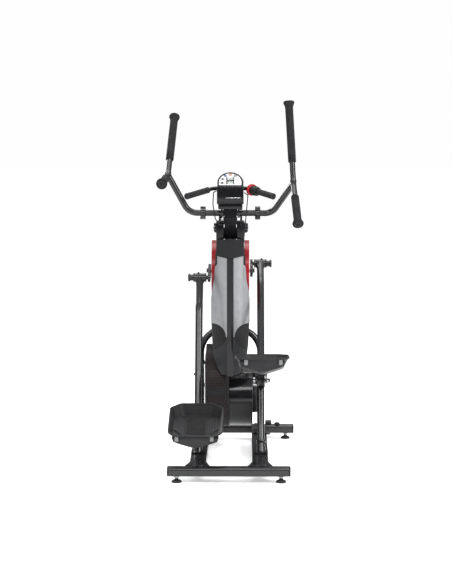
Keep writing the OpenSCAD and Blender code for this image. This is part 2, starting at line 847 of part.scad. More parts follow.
module control_cables() {
    color(plastic_black) for (route = [display_lead, brake_cable])
        bent_tube([for (p = route) p + [0, pivot.x, pivot.y]], 8, 2.4, 2.4);
}

// ---------------------------------------------------------------- covers

module shroud_outline(r, tail) {
    strap(crank, r, [crank_y + 10, idler.y - 10], tail);
}

module shroud(side) {
    color(signal_red) on_side(side) difference() {
        across(shroud_slab[0], shroud_slab[1]) shroud_outline(137, 74);
        across(shroud_slab[0] - 1, shroud_slab[1] - shell) shroud_outline(137 - shell, 74 - shell);
        cyl_x(shroud_slab[0], shroud_slab[1] + 1, crank, shaft_r + 5);
    }
}

module right_shroud() { shroud(RIGHT); }
module left_shroud() { shroud(LEFT); }

// Upright shell bent round the spine's axis, between two radii
module spine_band(r_out, r_in) {
    translate([0, spine_y, spine_low - 20]) linear_extrude(spine_top - spine_low + 80) difference() {
        circle(r_out, $fn = 96);
        circle(r_in, $fn = 96);
        translate([-200, 0]) square([400, 200]);
    }
}

// Cuts children to an outline drawn in the (X, Z) plane
module facing(y0, y1) {
    translate([0, y1, 0]) rotate([90, 0, 0]) linear_extrude(y1 - y0) children();
}

function both_sides(half) = concat(half, [for (i = [len(half) - 1:-1:0]) [-half[i].x, half[i].y]]);

// Half outline of the whole spine, from the bottom up, as [half width, height]
spine_half = [
    [20, spine_low], [40, spine_low + 4], [58, spine_low + 36], [72, spine_low + 70], [80, spine_low + 130],
    [86, crank_z - 190], [86, crank_z - 120], [82, crank_z - 80], [72, crank_z - 30], [68, crank_z + 20],
    [66, spine_top - 40], [62, spine_top]];
inset_at = [77, crank_z - 282];
inset_r = 58;

module spine_shell() {
    color(plastic_black) intersection() {
        spine_band(spine_r - 4, spine_r - 7);
        facing(0, spine_y) polygon(both_sides(spine_half));
    }
}

// Two silver faces beside the ridge, scooped at the sides below and notched at the sides above
module silver_panels() {
    color(silver_grey) intersection() {
        spine_band(spine_r, spine_r - 4);
        facing(0, spine_y) difference() {
            polygon(both_sides([
                [0, crank_z - 330], [86, crank_z - 330], [86, crank_z - 120], [82, crank_z - 80],
                [72, crank_z - 30], [68, crank_z + 28], [58, crank_z + 40], [58, spine_top - 36],
                [0, spine_top - 48]]));
            translate([-ridge_half - side_gap, spine_low]) square([2 * (ridge_half + side_gap), 900]);
            for (x = [-1, 1]) translate([x * inset_at.x, inset_at.y]) circle(inset_r, $fn = 96);
            translate([-100, spine_low]) square([200, inset_at.y - spine_low]);
        }
    }
}

ridge_half = 14;

module spine_ridge() {
    color(gloss_black) intersection() {
        spine_band(spine_r + 3, spine_r - 4);
        facing(0, spine_y) translate([-ridge_half, spine_low - 6])
            square([2 * ridge_half, spine_top - 48 - spine_low + 6]);
    }
}

// Dark faces of the spine's lower end
module lower_panels() {
    color(dark_grey) intersection() {
        spine_band(spine_r, spine_r - 4);
        facing(0, spine_y) difference() {
            intersection() {
                polygon(both_sides(spine_half));
                translate([-100, spine_low]) square([200, inset_at.y - side_gap - spine_low]);
            }
            translate([-ridge_half - side_gap, spine_low - 1]) square([2 * (ridge_half + side_gap), 900]);
            for (x = [-1, 1]) translate([x * inset_at.x, inset_at.y]) circle(inset_r, $fn = 96);
        }
    }
}

// Glossy collar that closes the top of the spine
module collar_cover() {
    color(gloss_black) intersection() {
        spine_band(spine_r + 5, spine_r + 0.3);
        facing(0, spine_y - 66) polygon(both_sides([
            [0, spine_top - 47.5], [58, spine_top - 33], [64, spine_top - 30], [60, spine_top + 36],
            [0, spine_top + 42]]));
    }
}

// Front half of the column, round the drive wheel
module front_cover() {
    half = 58;
    color(plastic_black) intersection() {
        translate([0, crank_y + 46, idler.y - 60]) linear_extrude(spine_top - idler.y + 60) difference() {
            circle(spine_r, $fn = 96);
            circle(spine_r - shell, $fn = 96);
            translate([-200, -200]) square([400, 200]);
        }
        facing(crank_y, crank_y + 300) polygon(both_sides([
            [0, idler.y - 60], [40, idler.y - 60], [half, idler.y], [half, crank_z + 60], [44, spine_top]]));
    }
}

// Cover of the mast's neck below the console
module head_cover() {
    wall = 3.5;
    low = pivot.y - 116;
    top = pivot.y + 38;
    slope = pivot_back / pivot_rise;
    low_y = pivot.x + slope * 116;
    half = mast_w / 2 + 2 * wall;
    color(gloss_black) difference() {
        across(-half, half) polygon([
            [low_y - 42 - wall, low], [pivot.x - 38 - wall, pivot.y - 20], [pivot.x - 32 - wall, top],
            [pivot.x + 4, top], [pivot.x + 4, pivot.y - 24], [low_y - 8, low]]);
        across(-half + wall, half - wall) polygon([
            [low_y - 42, low - 1], [pivot.x - 38, pivot.y - 20], [pivot.x - 32, top + 1],
            [pivot.x + 40, top + 1], [pivot.x + 90, low - 1]]);
        cyl_x(-mast_w, mast_w, pivot, handle_r + 9);
    }
}

// ---------------------------------------------------------------- console

module console_outline(grow) {
    r = console_w / 2 + grow;
    difference() {
        union() {
            translate([0, console_h - console_w / 2]) circle(r, $fn = 96);
            translate([-r, -grow]) square([2 * r, console_h - console_w / 2 + grow]);
        }
        translate([-200, -400 - grow]) square([400, 400]);
    }
}

panel_t = 3;
buttons = [          // places on the panel: start, up, down, mode, fan
    [0, 66], [-34, 42], [-36, 20], [-22, 60], [22, 60]];
button_size = [13, 7];

module button_shape(grow) {
    r = button_size.y / 2 + grow;
    for (x = [-1, 1]) translate([x * (button_size.x - button_size.y) / 2, 0]) circle(r);
    translate([-(button_size.x - button_size.y) / 2, -r]) square([button_size.x - button_size.y, 2 * r]);
}

module console_housing() {
    color(gloss_black) on_console() difference() {
        translate([0, 0, -console_t]) linear_extrude(console_t) console_outline(0);
        translate([0, 0, -panel_t]) linear_extrude(panel_t + 1) console_outline(-7);
        translate([0, 0, -panel_t - button_travel - 2]) linear_extrude(button_travel + 3) console_outline(-8.3);
        translate([0, 8, -console_t + shell]) linear_extrude(console_t)
            translate([-console_w / 2 + 14, 0]) square([console_w - 28, console_h - 34]);
    }
}

module console_panel() {
    color("white") on_console() difference() {
        translate([0, 0, -panel_t]) linear_extrude(panel_t) console_outline(-7.2);
        for (at = buttons) translate([at.x, at.y, -panel_t - 1]) linear_extrude(panel_t + 2) button_shape(0.3);
        translate([0, 33, -panel_t - 1]) linear_extrude(panel_t + 2) soft_rect([28.4, 36.4], 3);
    }
}

module display_window() {
    color([0.5, 0.55, 0.52]) on_console() translate([0, 33, -panel_t]) linear_extrude(panel_t)
        soft_rect([28, 36], 3);
}

module button(i, tone) {
    color(tone) on_console() translate([buttons[i].x, buttons[i].y, -panel_t + 0.5])
        linear_extrude(panel_t + 0.7) button_shape(0);
}

module start_button() { button(0, "orange"); }
module up_button() { button(1, dark_grey); }
module down_button() { button(2, dark_grey); }
module mode_button() { button(3, "steelblue"); }
module fan_button() { button(4, dark_grey); }

// Box under the display with a ledge that holds a book or a tablet
module media_shelf() {
    box_w = console_w + 4;
    low = pivot.y + 42;
    rear = pivot.x - 68;
    color(plastic_black) difference() {
        union() {
            translate([-box_w / 2, rear, low]) cube([box_w, pivot.x - 26 - rear, console_at.z - low]);
            translate([-box_w / 2, rear - 12, low + 22]) cube([box_w, 12, 5]);
        }
        translate([-box_w / 2 + shell, rear + shell, low - 1])
            cube([box_w - 2 * shell, pivot.x - 26 - rear - 2 * shell, console_at.z - low - 26]);
        on_console() translate([-100, -TOUCH, -100]) cube([200, 200, 200]);
        translate([-mast_w / 2 - 8, pivot.x - 46, low - 1]) cube([mast_w + 16, 60, 60]);
    }
}

aero_points = [[-190, aero_y - 170, aero_z - 30], [-74, aero_y, aero_z], [74, aero_y, aero_z],
    [190, aero_y - 170, aero_z - 30]];

module aero_bar() {
    color(steel_black) bent_tube(aero_points, 34, aero_r, 2);
}

function aero_at(d) = aero_points[3] + unit(aero_points[2] - aero_points[3]) * d;
ring_at = 168;
twist_at = 128;

// Foam sleeves on the two horns, with the body of the twist control behind the right one
module aero_grips() {
    color(foam_black) {
        for (side = [LEFT, RIGHT]) on_side(side)
            along(aero_at(-3), aero_at(60)) rotate_extrude() polygon([
                [0, 0], [11, 0], [13.5, 3], [13.5, 115], [12.5, 122], [aero_r + 0.1, 122],
                [aero_r + 0.1, 3], [0, 3]]);
        along(aero_at(twist_at), aero_at(ring_at)) rotate_extrude() polygon([
            [aero_r + 0.1, 0], [17, 0], [21, 12], [21, ring_at - twist_at - 4.5],
            [aero_r + 0.1, ring_at - twist_at - 4.5]]);
    }
}

// Ring that is twisted to set the brake
module resistance_ring() {
    color(signal_red) along(aero_at(ring_at - 4), aero_at(ring_at + 20)) rotate_extrude() polygon([
        [aero_r + run_gap, 0], [24, 0], [26, 2], [26, 12], [24, 14], [aero_r + run_gap, 14]]);
}

// ---------------------------------------------------------------- the parts

rear_stabilizer();
front_stabilizer();
right_base_rail();
left_base_rail();
stabilizer_caps();
levelling_feet();
transport_wheels();
right_rail();
left_rail();
brace_arch();
mast();
crank_bearings();
axles();
right_shroud();
left_shroud();
spine_shell();
silver_panels();
spine_ridge();
lower_panels();
collar_cover();
front_cover();
head_cover();
fan_grille();
fan_cover();
fan_wheel();
idler_pulley();
crank_wheel();
upper_belt();
lower_belt();
brake_bracket();
crank_shaft();
right_crank_arm();
left_crank_arm();
right_leg();
left_leg();
right_pedal();
left_pedal();
right_roller_axle();
left_roller_axle();
right_roller();
left_roller();
right_handle();
left_handle();
right_handle_grips();
left_handle_grips();
right_link();
left_link();
control_cables();
console_housing();
console_panel();
display_window();
media_shelf();
start_button();
up_button();
down_button();
mode_button();
fan_button();
aero_bar();
aero_grips();
resistance_ring();
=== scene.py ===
import json
import math

import bmesh
import bpy
from mathutils import Matrix, Vector

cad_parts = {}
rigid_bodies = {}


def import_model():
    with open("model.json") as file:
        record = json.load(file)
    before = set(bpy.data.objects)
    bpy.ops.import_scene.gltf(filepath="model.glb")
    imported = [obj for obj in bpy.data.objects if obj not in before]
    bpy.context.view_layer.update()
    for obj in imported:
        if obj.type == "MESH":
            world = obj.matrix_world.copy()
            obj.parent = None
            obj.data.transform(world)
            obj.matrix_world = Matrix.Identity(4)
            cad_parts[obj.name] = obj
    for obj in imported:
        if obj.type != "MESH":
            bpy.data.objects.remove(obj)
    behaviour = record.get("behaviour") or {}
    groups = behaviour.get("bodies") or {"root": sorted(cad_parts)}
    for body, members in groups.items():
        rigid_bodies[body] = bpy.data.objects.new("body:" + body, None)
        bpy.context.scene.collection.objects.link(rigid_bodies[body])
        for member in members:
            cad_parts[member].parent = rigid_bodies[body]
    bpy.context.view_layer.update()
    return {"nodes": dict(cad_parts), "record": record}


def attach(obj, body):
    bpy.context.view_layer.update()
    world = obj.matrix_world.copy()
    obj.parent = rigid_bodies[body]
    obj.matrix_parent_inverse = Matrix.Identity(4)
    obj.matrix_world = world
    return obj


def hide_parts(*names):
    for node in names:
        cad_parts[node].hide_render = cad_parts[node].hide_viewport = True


for leftover in list(bpy.data.objects):
    bpy.data.objects.remove(leftover)
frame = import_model()
print("frame loaded:", len(frame["nodes"]), "nodes")

right, left = 1, -1
bothSides = (right, left)
sideName = {right: "right", left: "left"}

# camera, floor and light

viewpoint = {"place": (0.071, -7.715, 1.442), "tilt": 84.77, "turn": 0.66, "lens": 109.05}
camera = bpy.data.objects.new("camera", bpy.data.cameras.new("camera"))
camera.data.sensor_width = 36
camera.data.lens = viewpoint["lens"]
camera.data.clip_end = 100
camera.location = viewpoint["place"]
camera.rotation_euler = (math.radians(viewpoint["tilt"]), 0, math.radians(viewpoint["turn"]))
bpy.context.scene.collection.objects.link(camera)
bpy.context.scene.camera = camera

studio = {
    "sky": (0.93, 0.94, 0.96), "dusk": (0.030, 0.031, 0.033), "skyStrength": 0.9,
    "floorTone": (0.93, 0.93, 0.93), "floorGlow": 0.45,
    "lamps": [  # place, aim, size, watts
        ((-3.2, -3.4, 3.6), (0, 0, 0.8), (1.2, 3.0), 95),
        ((3.4, -2.6, 3.0), (0, 0, 0.8), (0.9, 3.0), 185),
        ((0.4, -5.5, 5.0), (0, 0, 0.7), (3.0, 1.4), 120),
        ((0.0, 1.2, 4.6), (0, 0.1, 0.6), (3.0, 3.0), 110),
        ((-2.4, 3.0, 2.2), (0, 0.2, 0.8), (1.0, 2.4), 70),
    ],
}


def buildStudio():
    world = bpy.data.worlds.new("studioSky")
    bpy.context.scene.world = world
    world.use_nodes = True
    sky = world.node_tree.nodes["Background"]
    nodes, links = world.node_tree.nodes, world.node_tree.links
    heading = nodes.new("ShaderNodeTexCoord")
    parts = nodes.new("ShaderNodeSeparateXYZ")
    height = nodes.new("ShaderNodeMapRange")  # dim room at eye level, bright ceiling
    height.inputs["From Min"].default_value = 0.12
    height.inputs["From Max"].default_value = 0.75
    blend = nodes.new("ShaderNodeMix")
    blend.data_type = "RGBA"
    blend.inputs["A"].default_value = (*studio["dusk"], 1)
    blend.inputs["B"].default_value = (*studio["sky"], 1)
    links.new(heading.outputs["Generated"], parts.inputs["Vector"])
    links.new(parts.outputs["Z"], height.inputs["Value"])
    links.new(height.outputs["Result"], blend.inputs["Factor"])
    ray = nodes.new("ShaderNodeLightPath")  # a plain pale backdrop where the sky itself is seen
    backdrop = nodes.new("ShaderNodeMix")
    backdrop.data_type = "RGBA"
    backdrop.inputs["B"].default_value = (1.1, 1.1, 1.1, 1)
    links.new(ray.outputs["Is Camera Ray"], backdrop.inputs["Factor"])
    links.new(blend.outputs["Result"], backdrop.inputs["A"])
    links.new(backdrop.outputs["Result"], sky.inputs["Color"])
    bpy.context.scene.view_settings.view_transform = "Standard"
    sky.inputs["Strength"].default_value = studio["skyStrength"]
    for i, (place, aim, size, watts) in enumerate(studio["lamps"]):
        lamp = bpy.data.lights.new(f"softbox{i + 1}", "AREA")
        lamp.shape = "RECTANGLE"
        lamp.size, lamp.size_y = size
        lamp.energy = watts
        box = bpy.data.objects.new(lamp.name, lamp)
        box.location = place
        box.rotation_euler = (Vector(aim) - Vector(place)).to_track_quat("-Z", "Y").to_euler()
        bpy.context.scene.collection.objects.link(box)
    bm = bmesh.new()
    bmesh.ops.create_grid(bm, x_segments=1, y_segments=1, size=60)
    mesh = bpy.data.meshes.new("studioFloor")
    bm.to_mesh(mesh)
    bm.free()
    mesh.shade_smooth()
    floor = bpy.data.objects.new("studioFloor", mesh)
    bpy.context.scene.collection.objects.link(floor)
    paper = bpy.data.materials.new("paper")
    paper.use_nodes = True
    paper.node_tree.nodes["Principled BSDF"].inputs["Base Color"].default_value = (*studio["floorTone"], 1)
    paper.node_tree.nodes["Principled BSDF"].inputs["Roughness"].default_value = 0.9
    paper.node_tree.nodes["Principled BSDF"].inputs["Emission Color"].default_value = (1, 1, 1, 1)
    paper.node_tree.nodes["Principled BSDF"].inputs["Emission Strength"].default_value = studio["floorGlow"]
    mesh.materials.append(paper)


buildStudio()
print("studio ready")

# finishes

def makeFinish(name, colour, rough, metal=0.0, coat=0.0, tint=0.15, tintScale=14, grain=0.1, grainScale=900,
        grainKind="noise", stretch=(1, 1, 1), roughSpread=0.08, wear=None, wearWidth=0.0015, depth=0.0004,
        shine=0.22):
    finish = bpy.data.materials.new(name)
    finish.use_nodes = True
    nodes, links = finish.node_tree.nodes, finish.node_tree.links
    shader = nodes["Principled BSDF"]
    shader.inputs["Metallic"].default_value = metal
    shader.inputs["Specular IOR Level"].default_value = shine
    shader.inputs["Coat Weight"].default_value = coat
    shader.inputs["Coat Roughness"].default_value = 0.06
    spot = nodes.new("ShaderNodeTexCoord")
    pull = nodes.new("ShaderNodeMapping")
    pull.inputs["Scale"].default_value = stretch
    links.new(spot.outputs["Object"], pull.inputs["Vector"])
    cloud = nodes.new("ShaderNodeTexNoise")
    cloud.inputs["Scale"].default_value = tintScale
    cloud.inputs["Detail"].default_value = 6
    links.new(pull.outputs["Vector"], cloud.inputs["Vector"])
    tones = nodes.new("ShaderNodeValToRGB")
    tones.color_ramp.elements[0].position = 0.3
    tones.color_ramp.elements[1].position = 0.7
    tones.color_ramp.elements[0].color = (*[c * (1 - tint) for c in colour], 1)
    tones.color_ramp.elements[1].color = (*[min(c * (1 + tint), 1) for c in colour], 1)
    links.new(cloud.outputs["Fac"], tones.inputs["Fac"])
    skin = tones.outputs["Color"]
    if wear:  # paint rubbed thin along the edges
        soft = nodes.new("ShaderNodeBevel")
        soft.samples = 4
        soft.inputs["Radius"].default_value = wearWidth
        true = nodes.new("ShaderNodeNewGeometry")
        match = nodes.new("ShaderNodeVectorMath")
        match.operation = "DOT_PRODUCT"
        links.new(soft.outputs["Normal"], match.inputs[0])
        links.new(true.outputs["Normal"], match.inputs[1])
        edge = nodes.new("ShaderNodeMapRange")
        edge.inputs["From Min"].default_value = 0.97
        edge.inputs["From Max"].default_value = 0.80
        edge.inputs["To Max"].default_value = 0.45
        links.new(match.outputs["Value"], edge.inputs["Value"])
        rubbed = nodes.new("ShaderNodeMix")
        rubbed.data_type = "RGBA"
        links.new(edge.outputs["Result"], rubbed.inputs["Factor"])
        links.new(skin, rubbed.inputs["A"])
        rubbed.inputs["B"].default_value = (*wear, 1)
        skin = rubbed.outputs["Result"]
    links.new(skin, shader.inputs["Base Color"])
    smear = nodes.new("ShaderNodeTexNoise")
    smear.inputs["Scale"].default_value = tintScale * 3
    smear.inputs["Detail"].default_value = 8
    smear.inputs["Roughness"].default_value = 0.65
    links.new(pull.outputs["Vector"], smear.inputs["Vector"])
    polish = nodes.new("ShaderNodeMapRange")
    polish.inputs["From Min"].default_value = 0.3
    polish.inputs["From Max"].default_value = 0.7
    polish.inputs["To Min"].default_value = max(rough - roughSpread, 0.03)
    polish.inputs["To Max"].default_value = min(rough + roughSpread, 1)
    links.new(smear.outputs["Fac"], polish.inputs["Value"])
    links.new(polish.outputs["Result"], shader.inputs["Roughness"])
    if grain:
        if grainKind == "cells":
            texture = nodes.new("ShaderNodeTexVoronoi")
            height = texture.outputs["Distance"]
        else:
            texture = nodes.new("ShaderNodeTexNoise")
            texture.inputs["Detail"].default_value = 3
            height = texture.outputs["Fac"]
        texture.inputs["Scale"].default_value = grainScale
        links.new(pull.outputs["Vector"], texture.inputs["Vector"])
        bump = nodes.new("ShaderNodeBump")
        bump.inputs["Strength"].default_value = grain
        bump.inputs["Distance"].default_value = depth
        links.new(height, bump.inputs["Height"])
        links.new(bump.outputs["Normal"], shader.inputs["Normal"])
    return finish


powderBlack = makeFinish("powderBlack", (0.010, 0.010, 0.011), 0.24, coat=0.12, grain=0.05, grainScale=900,
        tint=0.25, shine=0.42, roughSpread=0.05, depth=0.0002)
glossCover = makeFinish("glossCover", (0.007, 0.007, 0.008), 0.17, coat=0.12, shine=0.3, grain=0.03, grainScale=260,
    tint=0.3,
        roughSpread=0.05, wear=(0.06, 0.06, 0.06))
mattCover = makeFinish("mattCover", (0.012, 0.012, 0.013), 0.46, coat=0.02, grain=0.35, grainScale=1600,
        grainKind="cells", tint=0.2, wear=(0.07, 0.07, 0.07), depth=0.0002)
silverFace = makeFinish("silverFace", (0.285, 0.288, 0.295), 0.36, metal=0.6, coat=0.25, grain=0.08, grainScale=2200,
        tint=0.06, tintScale=30, wear=(0.75, 0.75, 0.75), depth=0.0001)
lowerGrey = makeFinish("lowerGrey", (0.022, 0.0225, 0.024), 0.42, coat=0.02, grain=0.3, grainScale=1500,
        grainKind="cells", wear=(0.12, 0.12, 0.12), depth=0.0002)
shroudRed = makeFinish("shroudRed", (0.27, 0.008, 0.012), 0.30, metal=0.0, coat=0.10, grain=0.05, grainScale=1800,
        tint=0.18, wear=(0.60, 0.10, 0.10), depth=0.0001)
ringRed = makeFinish("ringRed", (0.36, 0.012, 0.015), 0.40, coat=0.1, grain=0.2, grainScale=1500, wear=(0.65, 0.12,
    0.1))
turnedSteel = makeFinish("turnedSteel", (0.58, 0.58, 0.60), 0.28, metal=1.0, grain=0.15, grainScale=500, tint=0.12,
        stretch=(8, 1, 1), wear=(0.8, 0.8, 0.8), depth=0.0001)
zincBolt = makeFinish("zincBolt", (0.50, 0.50, 0.51), 0.33, metal=1.0, grain=0.1, grainScale=900, tint=0.2,
        wear=(0.75, 0.75, 0.75), depth=0.0001)
blackBolt = makeFinish("blackBolt", (0.03, 0.03, 0.032), 0.35, metal=0.6, grain=0.1, grainScale=900, tint=0.3,
        wear=(0.25, 0.25, 0.25), depth=0.0001)
castAlloy = makeFinish("castAlloy", (0.55, 0.55, 0.57), 0.45, metal=1.0, grain=0.3, grainScale=800, tint=0.1,
        wear=(0.8, 0.8, 0.8), depth=0.0002)
fanPaint = makeFinish("fanPaint", (0.20, 0.055, 0.035), 0.5, metal=0.2, grain=0.2, grainScale=700, tint=0.25,
        wear=(0.35, 0.2, 0.15))
pedalGrain = makeFinish("pedalGrain", (0.019, 0.019, 0.020), 0.46, coat=0.0, grain=0.45, grainScale=1100,
        grainKind="cells", tint=0.22, tintScale=22, wear=(0.11, 0.11, 0.11), wearWidth=0.002,
        depth=0.00025)
treadRubber = makeFinish("treadRubber", (0.013, 0.013, 0.014), 0.68, grain=0.5, grainScale=1400, tint=0.3,
        wear=(0.09, 0.09, 0.09), depth=0.0003)
padGrey = makeFinish("padGrey", (0.17, 0.175, 0.175), 0.55, grain=0.3, grainScale=1200, tint=0.12, wear=(0.6, 0.6, 0.6))
gripFoam = makeFinish("gripFoam", (0.012, 0.012, 0.013), 0.86, grain=0.9, grainScale=950, grainKind="cells",
        tint=0.35, tintScale=40, roughSpread=0.1, depth=0.0006)
gripRubber = makeFinish("gripRubber", (0.010, 0.010, 0.011), 0.55, grain=0.3, grainScale=1300, tint=0.25,
        wear=(0.08, 0.08, 0.08), depth=0.0002)
footRubber = makeFinish("footRubber", (0.02, 0.02, 0.021), 0.62, grain=0.5, grainScale=800, tint=0.4, tintScale=30,
        wear=(0.12, 0.12, 0.12))
beltRubber = makeFinish("beltRubber", (0.015, 0.015, 0.015), 0.7, grain=0.6, grainScale=300, stretch=(4, 1, 1),
        tint=0.3, depth=0.0004)
rollerNylon = makeFinish("rollerNylon", (0.024, 0.024, 0.025), 0.36, grain=0.15, grainScale=700, tint=0.25,
        wear=(0.12, 0.12, 0.12), stretch=(6, 1, 1))
leadBlack = makeFinish("leadBlack", (0.016, 0.016, 0.017), 0.5, grain=0.2, grainScale=1500, tint=0.2)
panelWhite = makeFinish("panelWhite", (0.62, 0.62, 0.61), 0.38, coat=0.15, grain=0.12, grainScale=2600, tint=0.03,
        tintScale=60, depth=0.0001)
displayGlass = makeFinish("displayGlass", (0.42, 0.46, 0.43), 0.10, coat=0.5, grain=0.02, grainScale=400, tint=0.08,
        tintScale=50, roughSpread=0.03)
segmentInk = makeFinish("segmentInk", (0.015, 0.018, 0.016), 0.3, coat=0.5, grain=0.05, tint=0.1)
buttonOrange = makeFinish("buttonOrange", (0.60, 0.16, 0.03), 0.42, grain=0.15, grainScale=2400, tint=0.08)
buttonDark = makeFinish("buttonDark", (0.035, 0.036, 0.040), 0.45, grain=0.15, grainScale=2400, tint=0.15)
buttonBlue = makeFinish("buttonBlue", (0.05, 0.10, 0.24), 0.42, grain=0.15, grainScale=2400, tint=0.1)
buttonGrey = makeFinish("buttonGrey", (0.16, 0.165, 0.17), 0.45, grain=0.15, grainScale=2400, tint=0.1)
# bright polished metal, used only for strips that paint edge highlights on the console and head cover
paintedHighlightMetal = makeFinish("paintedHighlightMetal", (0.78, 0.79, 0.80), 0.12, metal=1.0, grain=0.03, grainScale=600, tint=0.05,
        roughSpread=0.04)
# dark reddish brown for the sheet inside the drum: the fan's own reddish brown, darkened as painted shade of the drum's
# inside
fanRedPaintedShade = makeFinish("fanRedPaintedShade", (0.020, 0.006, 0.004), 0.6, grain=0.3, grainScale=400, tint=0.4, tintScale=30,
        wear=(0.04, 0.012, 0.01))

nodeFinish = {  # what each carried-over node wears
    powderBlack: ["rear_stabilizer", "front_stabilizer", "right_base_rail", "left_base_rail", "right_rail",
                  "left_rail", "brace_arch", "mast", "right_crank_arm", "left_crank_arm", "right_leg", "left_leg",
                  "right_handle", "left_handle", "right_link", "left_link", "aero_bar"],
    glossCover: ["collar_cover", "head_cover", "fan_cover", "console_housing", "spine_ridge", "media_shelf"],
    mattCover: ["spine_shell", "front_cover", "fan_grille", "stabilizer_caps", "crank_wheel"],
    silverFace: ["silver_panels"], lowerGrey: ["lower_panels"], shroudRed: ["right_shroud", "left_shroud"],
    ringRed: ["resistance_ring"], turnedSteel: ["crank_bearings", "axles", "crank_shaft", "right_roller_axle",
                                                "left_roller_axle"],
    zincBolt: ["brake_bracket"], castAlloy: ["idler_pulley"], fanPaint: ["fan_wheel"],
    pedalGrain: ["right_pedal", "left_pedal"], gripFoam: ["right_handle_grips", "left_handle_grips", "aero_grips"],
    footRubber: ["levelling_feet"], beltRubber: ["upper_belt", "lower_belt"], leadBlack: ["control_cables"],
    rollerNylon: ["right_roller", "left_roller", "transport_wheels"], panelWhite: ["console_panel"],
    displayGlass: ["display_window"], buttonOrange: ["start_button"], buttonDark: ["up_button", "down_button"],
    buttonGrey: ["fan_button"], buttonBlue: ["mode_button"],
}
wornBy = {}
for finish, names in nodeFinish.items():
    for name in names:
        wornBy[name] = finish
        mesh = frame["nodes"][name].data
        mesh.materials.clear()
        mesh.materials.append(finish)
bodyOf = {node: body for body, nodes in frame["record"]["behaviour"]["bodies"].items() for node in nodes}
print("finishes ready:", len(bpy.data.materials))

# shaping helpers

def newVerts(made):
    return [v for v in made["geom"] if isinstance(v, bmesh.types.BMVert)]


def roundOver(bm, edges, offset, segments):
    bmesh.ops.bevel(bm, geom=edges, offset=offset, segments=segments, profile=0.5, affect="EDGES", material=-1)


def addShape(bm, made, place=None):
    # recalculated first, then carried to its place, so that a mirrored copy can be turned back
    bmesh.ops.recalc_face_normals(made, faces=made.faces)
    if place is not None:
        made.transform(place)
        if place.determinant() < 0:
            bmesh.ops.reverse_faces(made, faces=made.faces)
    held = bpy.data.meshes.new("held")
    made.to_mesh(held)
    made.free()
    bm.from_mesh(held)
    bpy.data.meshes.remove(held)


def makePiece(name, bm, finish, body, nodes=(), sharp=35):
    mesh = bpy.data.meshes.new(name)
    bm.to_mesh(mesh)
    bm.free()
    mesh.materials.append(finish)
    mesh.shade_smooth()
    mesh.set_sharp_from_angle(angle=math.radians(sharp))
    piece = bpy.data.objects.new(name, mesh)
    bpy.context.scene.collection.objects.link(piece)
    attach(piece, body)
    if nodes:
        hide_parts(*nodes)
    return piece


def softened(name, node, width, segments=2, finish=None, angle=38):
    # the node's own shape, with its edges rounded over as a mould or a press leaves them
    bm = bmesh.new()
    bm.from_mesh(frame["nodes"][node].data)
    bmesh.ops.remove_doubles(bm, verts=bm.verts, dist=2e-6)
    bmesh.ops.dissolve_limit(bm, angle_limit=math.radians(1), verts=bm.verts, edges=bm.edges)
    piece = makePiece(name, bm, finish or wornBy[node], bodyOf[node], [node], sharp=30)
    rounding = piece.modifiers.new("rounding", "BEVEL")
    rounding.limit_method = "ANGLE"
    rounding.angle_limit = math.radians(angle)
    rounding.width = width
    rounding.segments = segments
    rounding.miter_outer = "MITER_ARC"
    return piece


def aimed(start, towards):
    line = Vector(towards) - Vector(start)
    return Matrix.Translation(start) @ line.to_track_quat("Z", "Y").to_matrix().to_4x4()


def turned(bm, profile, place, steps=40):
    # profile of (distance along, radius), spun into a round piece
    made = bmesh.new()
    line = [made.verts.new((radius, 0, far)) for far, radius in profile]
    edges = [made.edges.new(pair) for pair in zip(line, line[1:])]
    bmesh.ops.spin(made, geom=line + edges, cent=(0, 0, 0), axis=(0, 0, 1), dvec=(0, 0, 0),
            angle=math.tau, steps=steps, use_merge=True, use_duplicate=False)
    bmesh.ops.remove_doubles(made, verts=made.verts, dist=1e-6)
    addShape(bm, made, place)


def block(bm, size, place, edge=0.0015, segments=2):
    made = bmesh.new()
    bmesh.ops.create_cube(made, size=1)
    bmesh.ops.scale(made, vec=size, verts=made.verts)
    if edge:
        bmesh.ops.bevel(made, geom=made.edges[:], offset=edge, segments=segments, profile=0.5, affect="EDGES",
                material=-1)
    addShape(bm, made, place)


def hexBolt(bm, place, across=0.0075, high=0.006):
    # head with a chamfered crown on a washer; +Z points out of the surface
    made = bmesh.new()
    bmesh.ops.create_cone(made, cap_ends=True, segments=6, radius1=across, radius2=across, depth=high)
    top = [e for e in made.edges if all(v.co.z > 0 for v in e.verts)]
    roundOver(made, top, high * 0.16, 2)
    addShape(bm, made, place @ Matrix.Translation((0, 0, high / 2 + 0.001)))
    turned(bm, [(0, 0), (0, across * 1.35), (0.001, across * 1.35), (0.0014, across * 1.25), (0.0014, 0)], place, 28)


def slab(bm, outline, thick, place, edge=0.0, segments=2):
    made = bmesh.new()
    face = made.faces.new([made.verts.new((x, y, 0)) for x, y in outline])
    raised = bmesh.ops.extrude_face_region(made, geom=[face])
    bmesh.ops.translate(made, vec=(0, 0, thick), verts=newVerts(raised))
    bmesh.ops.recalc_face_normals(made, faces=made.faces)
    if edge:
        rims = [e for e in made.edges if e.calc_face_angle(0) > 0.9]
        roundOver(made, rims, edge, segments)
    addShape(bm, made, place)


def softPath(points, bend, steps=8):
    # points of a path whose corners are rounded
    points = [Vector(p) for p in points]
    path = [points[0]]
    for before, corner, after in zip(points, points[1:], points[2:]):
        reach = min(bend, (corner - before).length * 0.49, (after - corner).length * 0.49)
        start = corner + (before - corner).normalized() * reach
        end = corner + (after - corner).normalized() * reach
        for i in range(steps + 1):
            t = i / steps
            path.append(start * (1 - t) ** 2 + corner * 2 * t * (1 - t) + end * t * t)
    return path + [points[-1]]


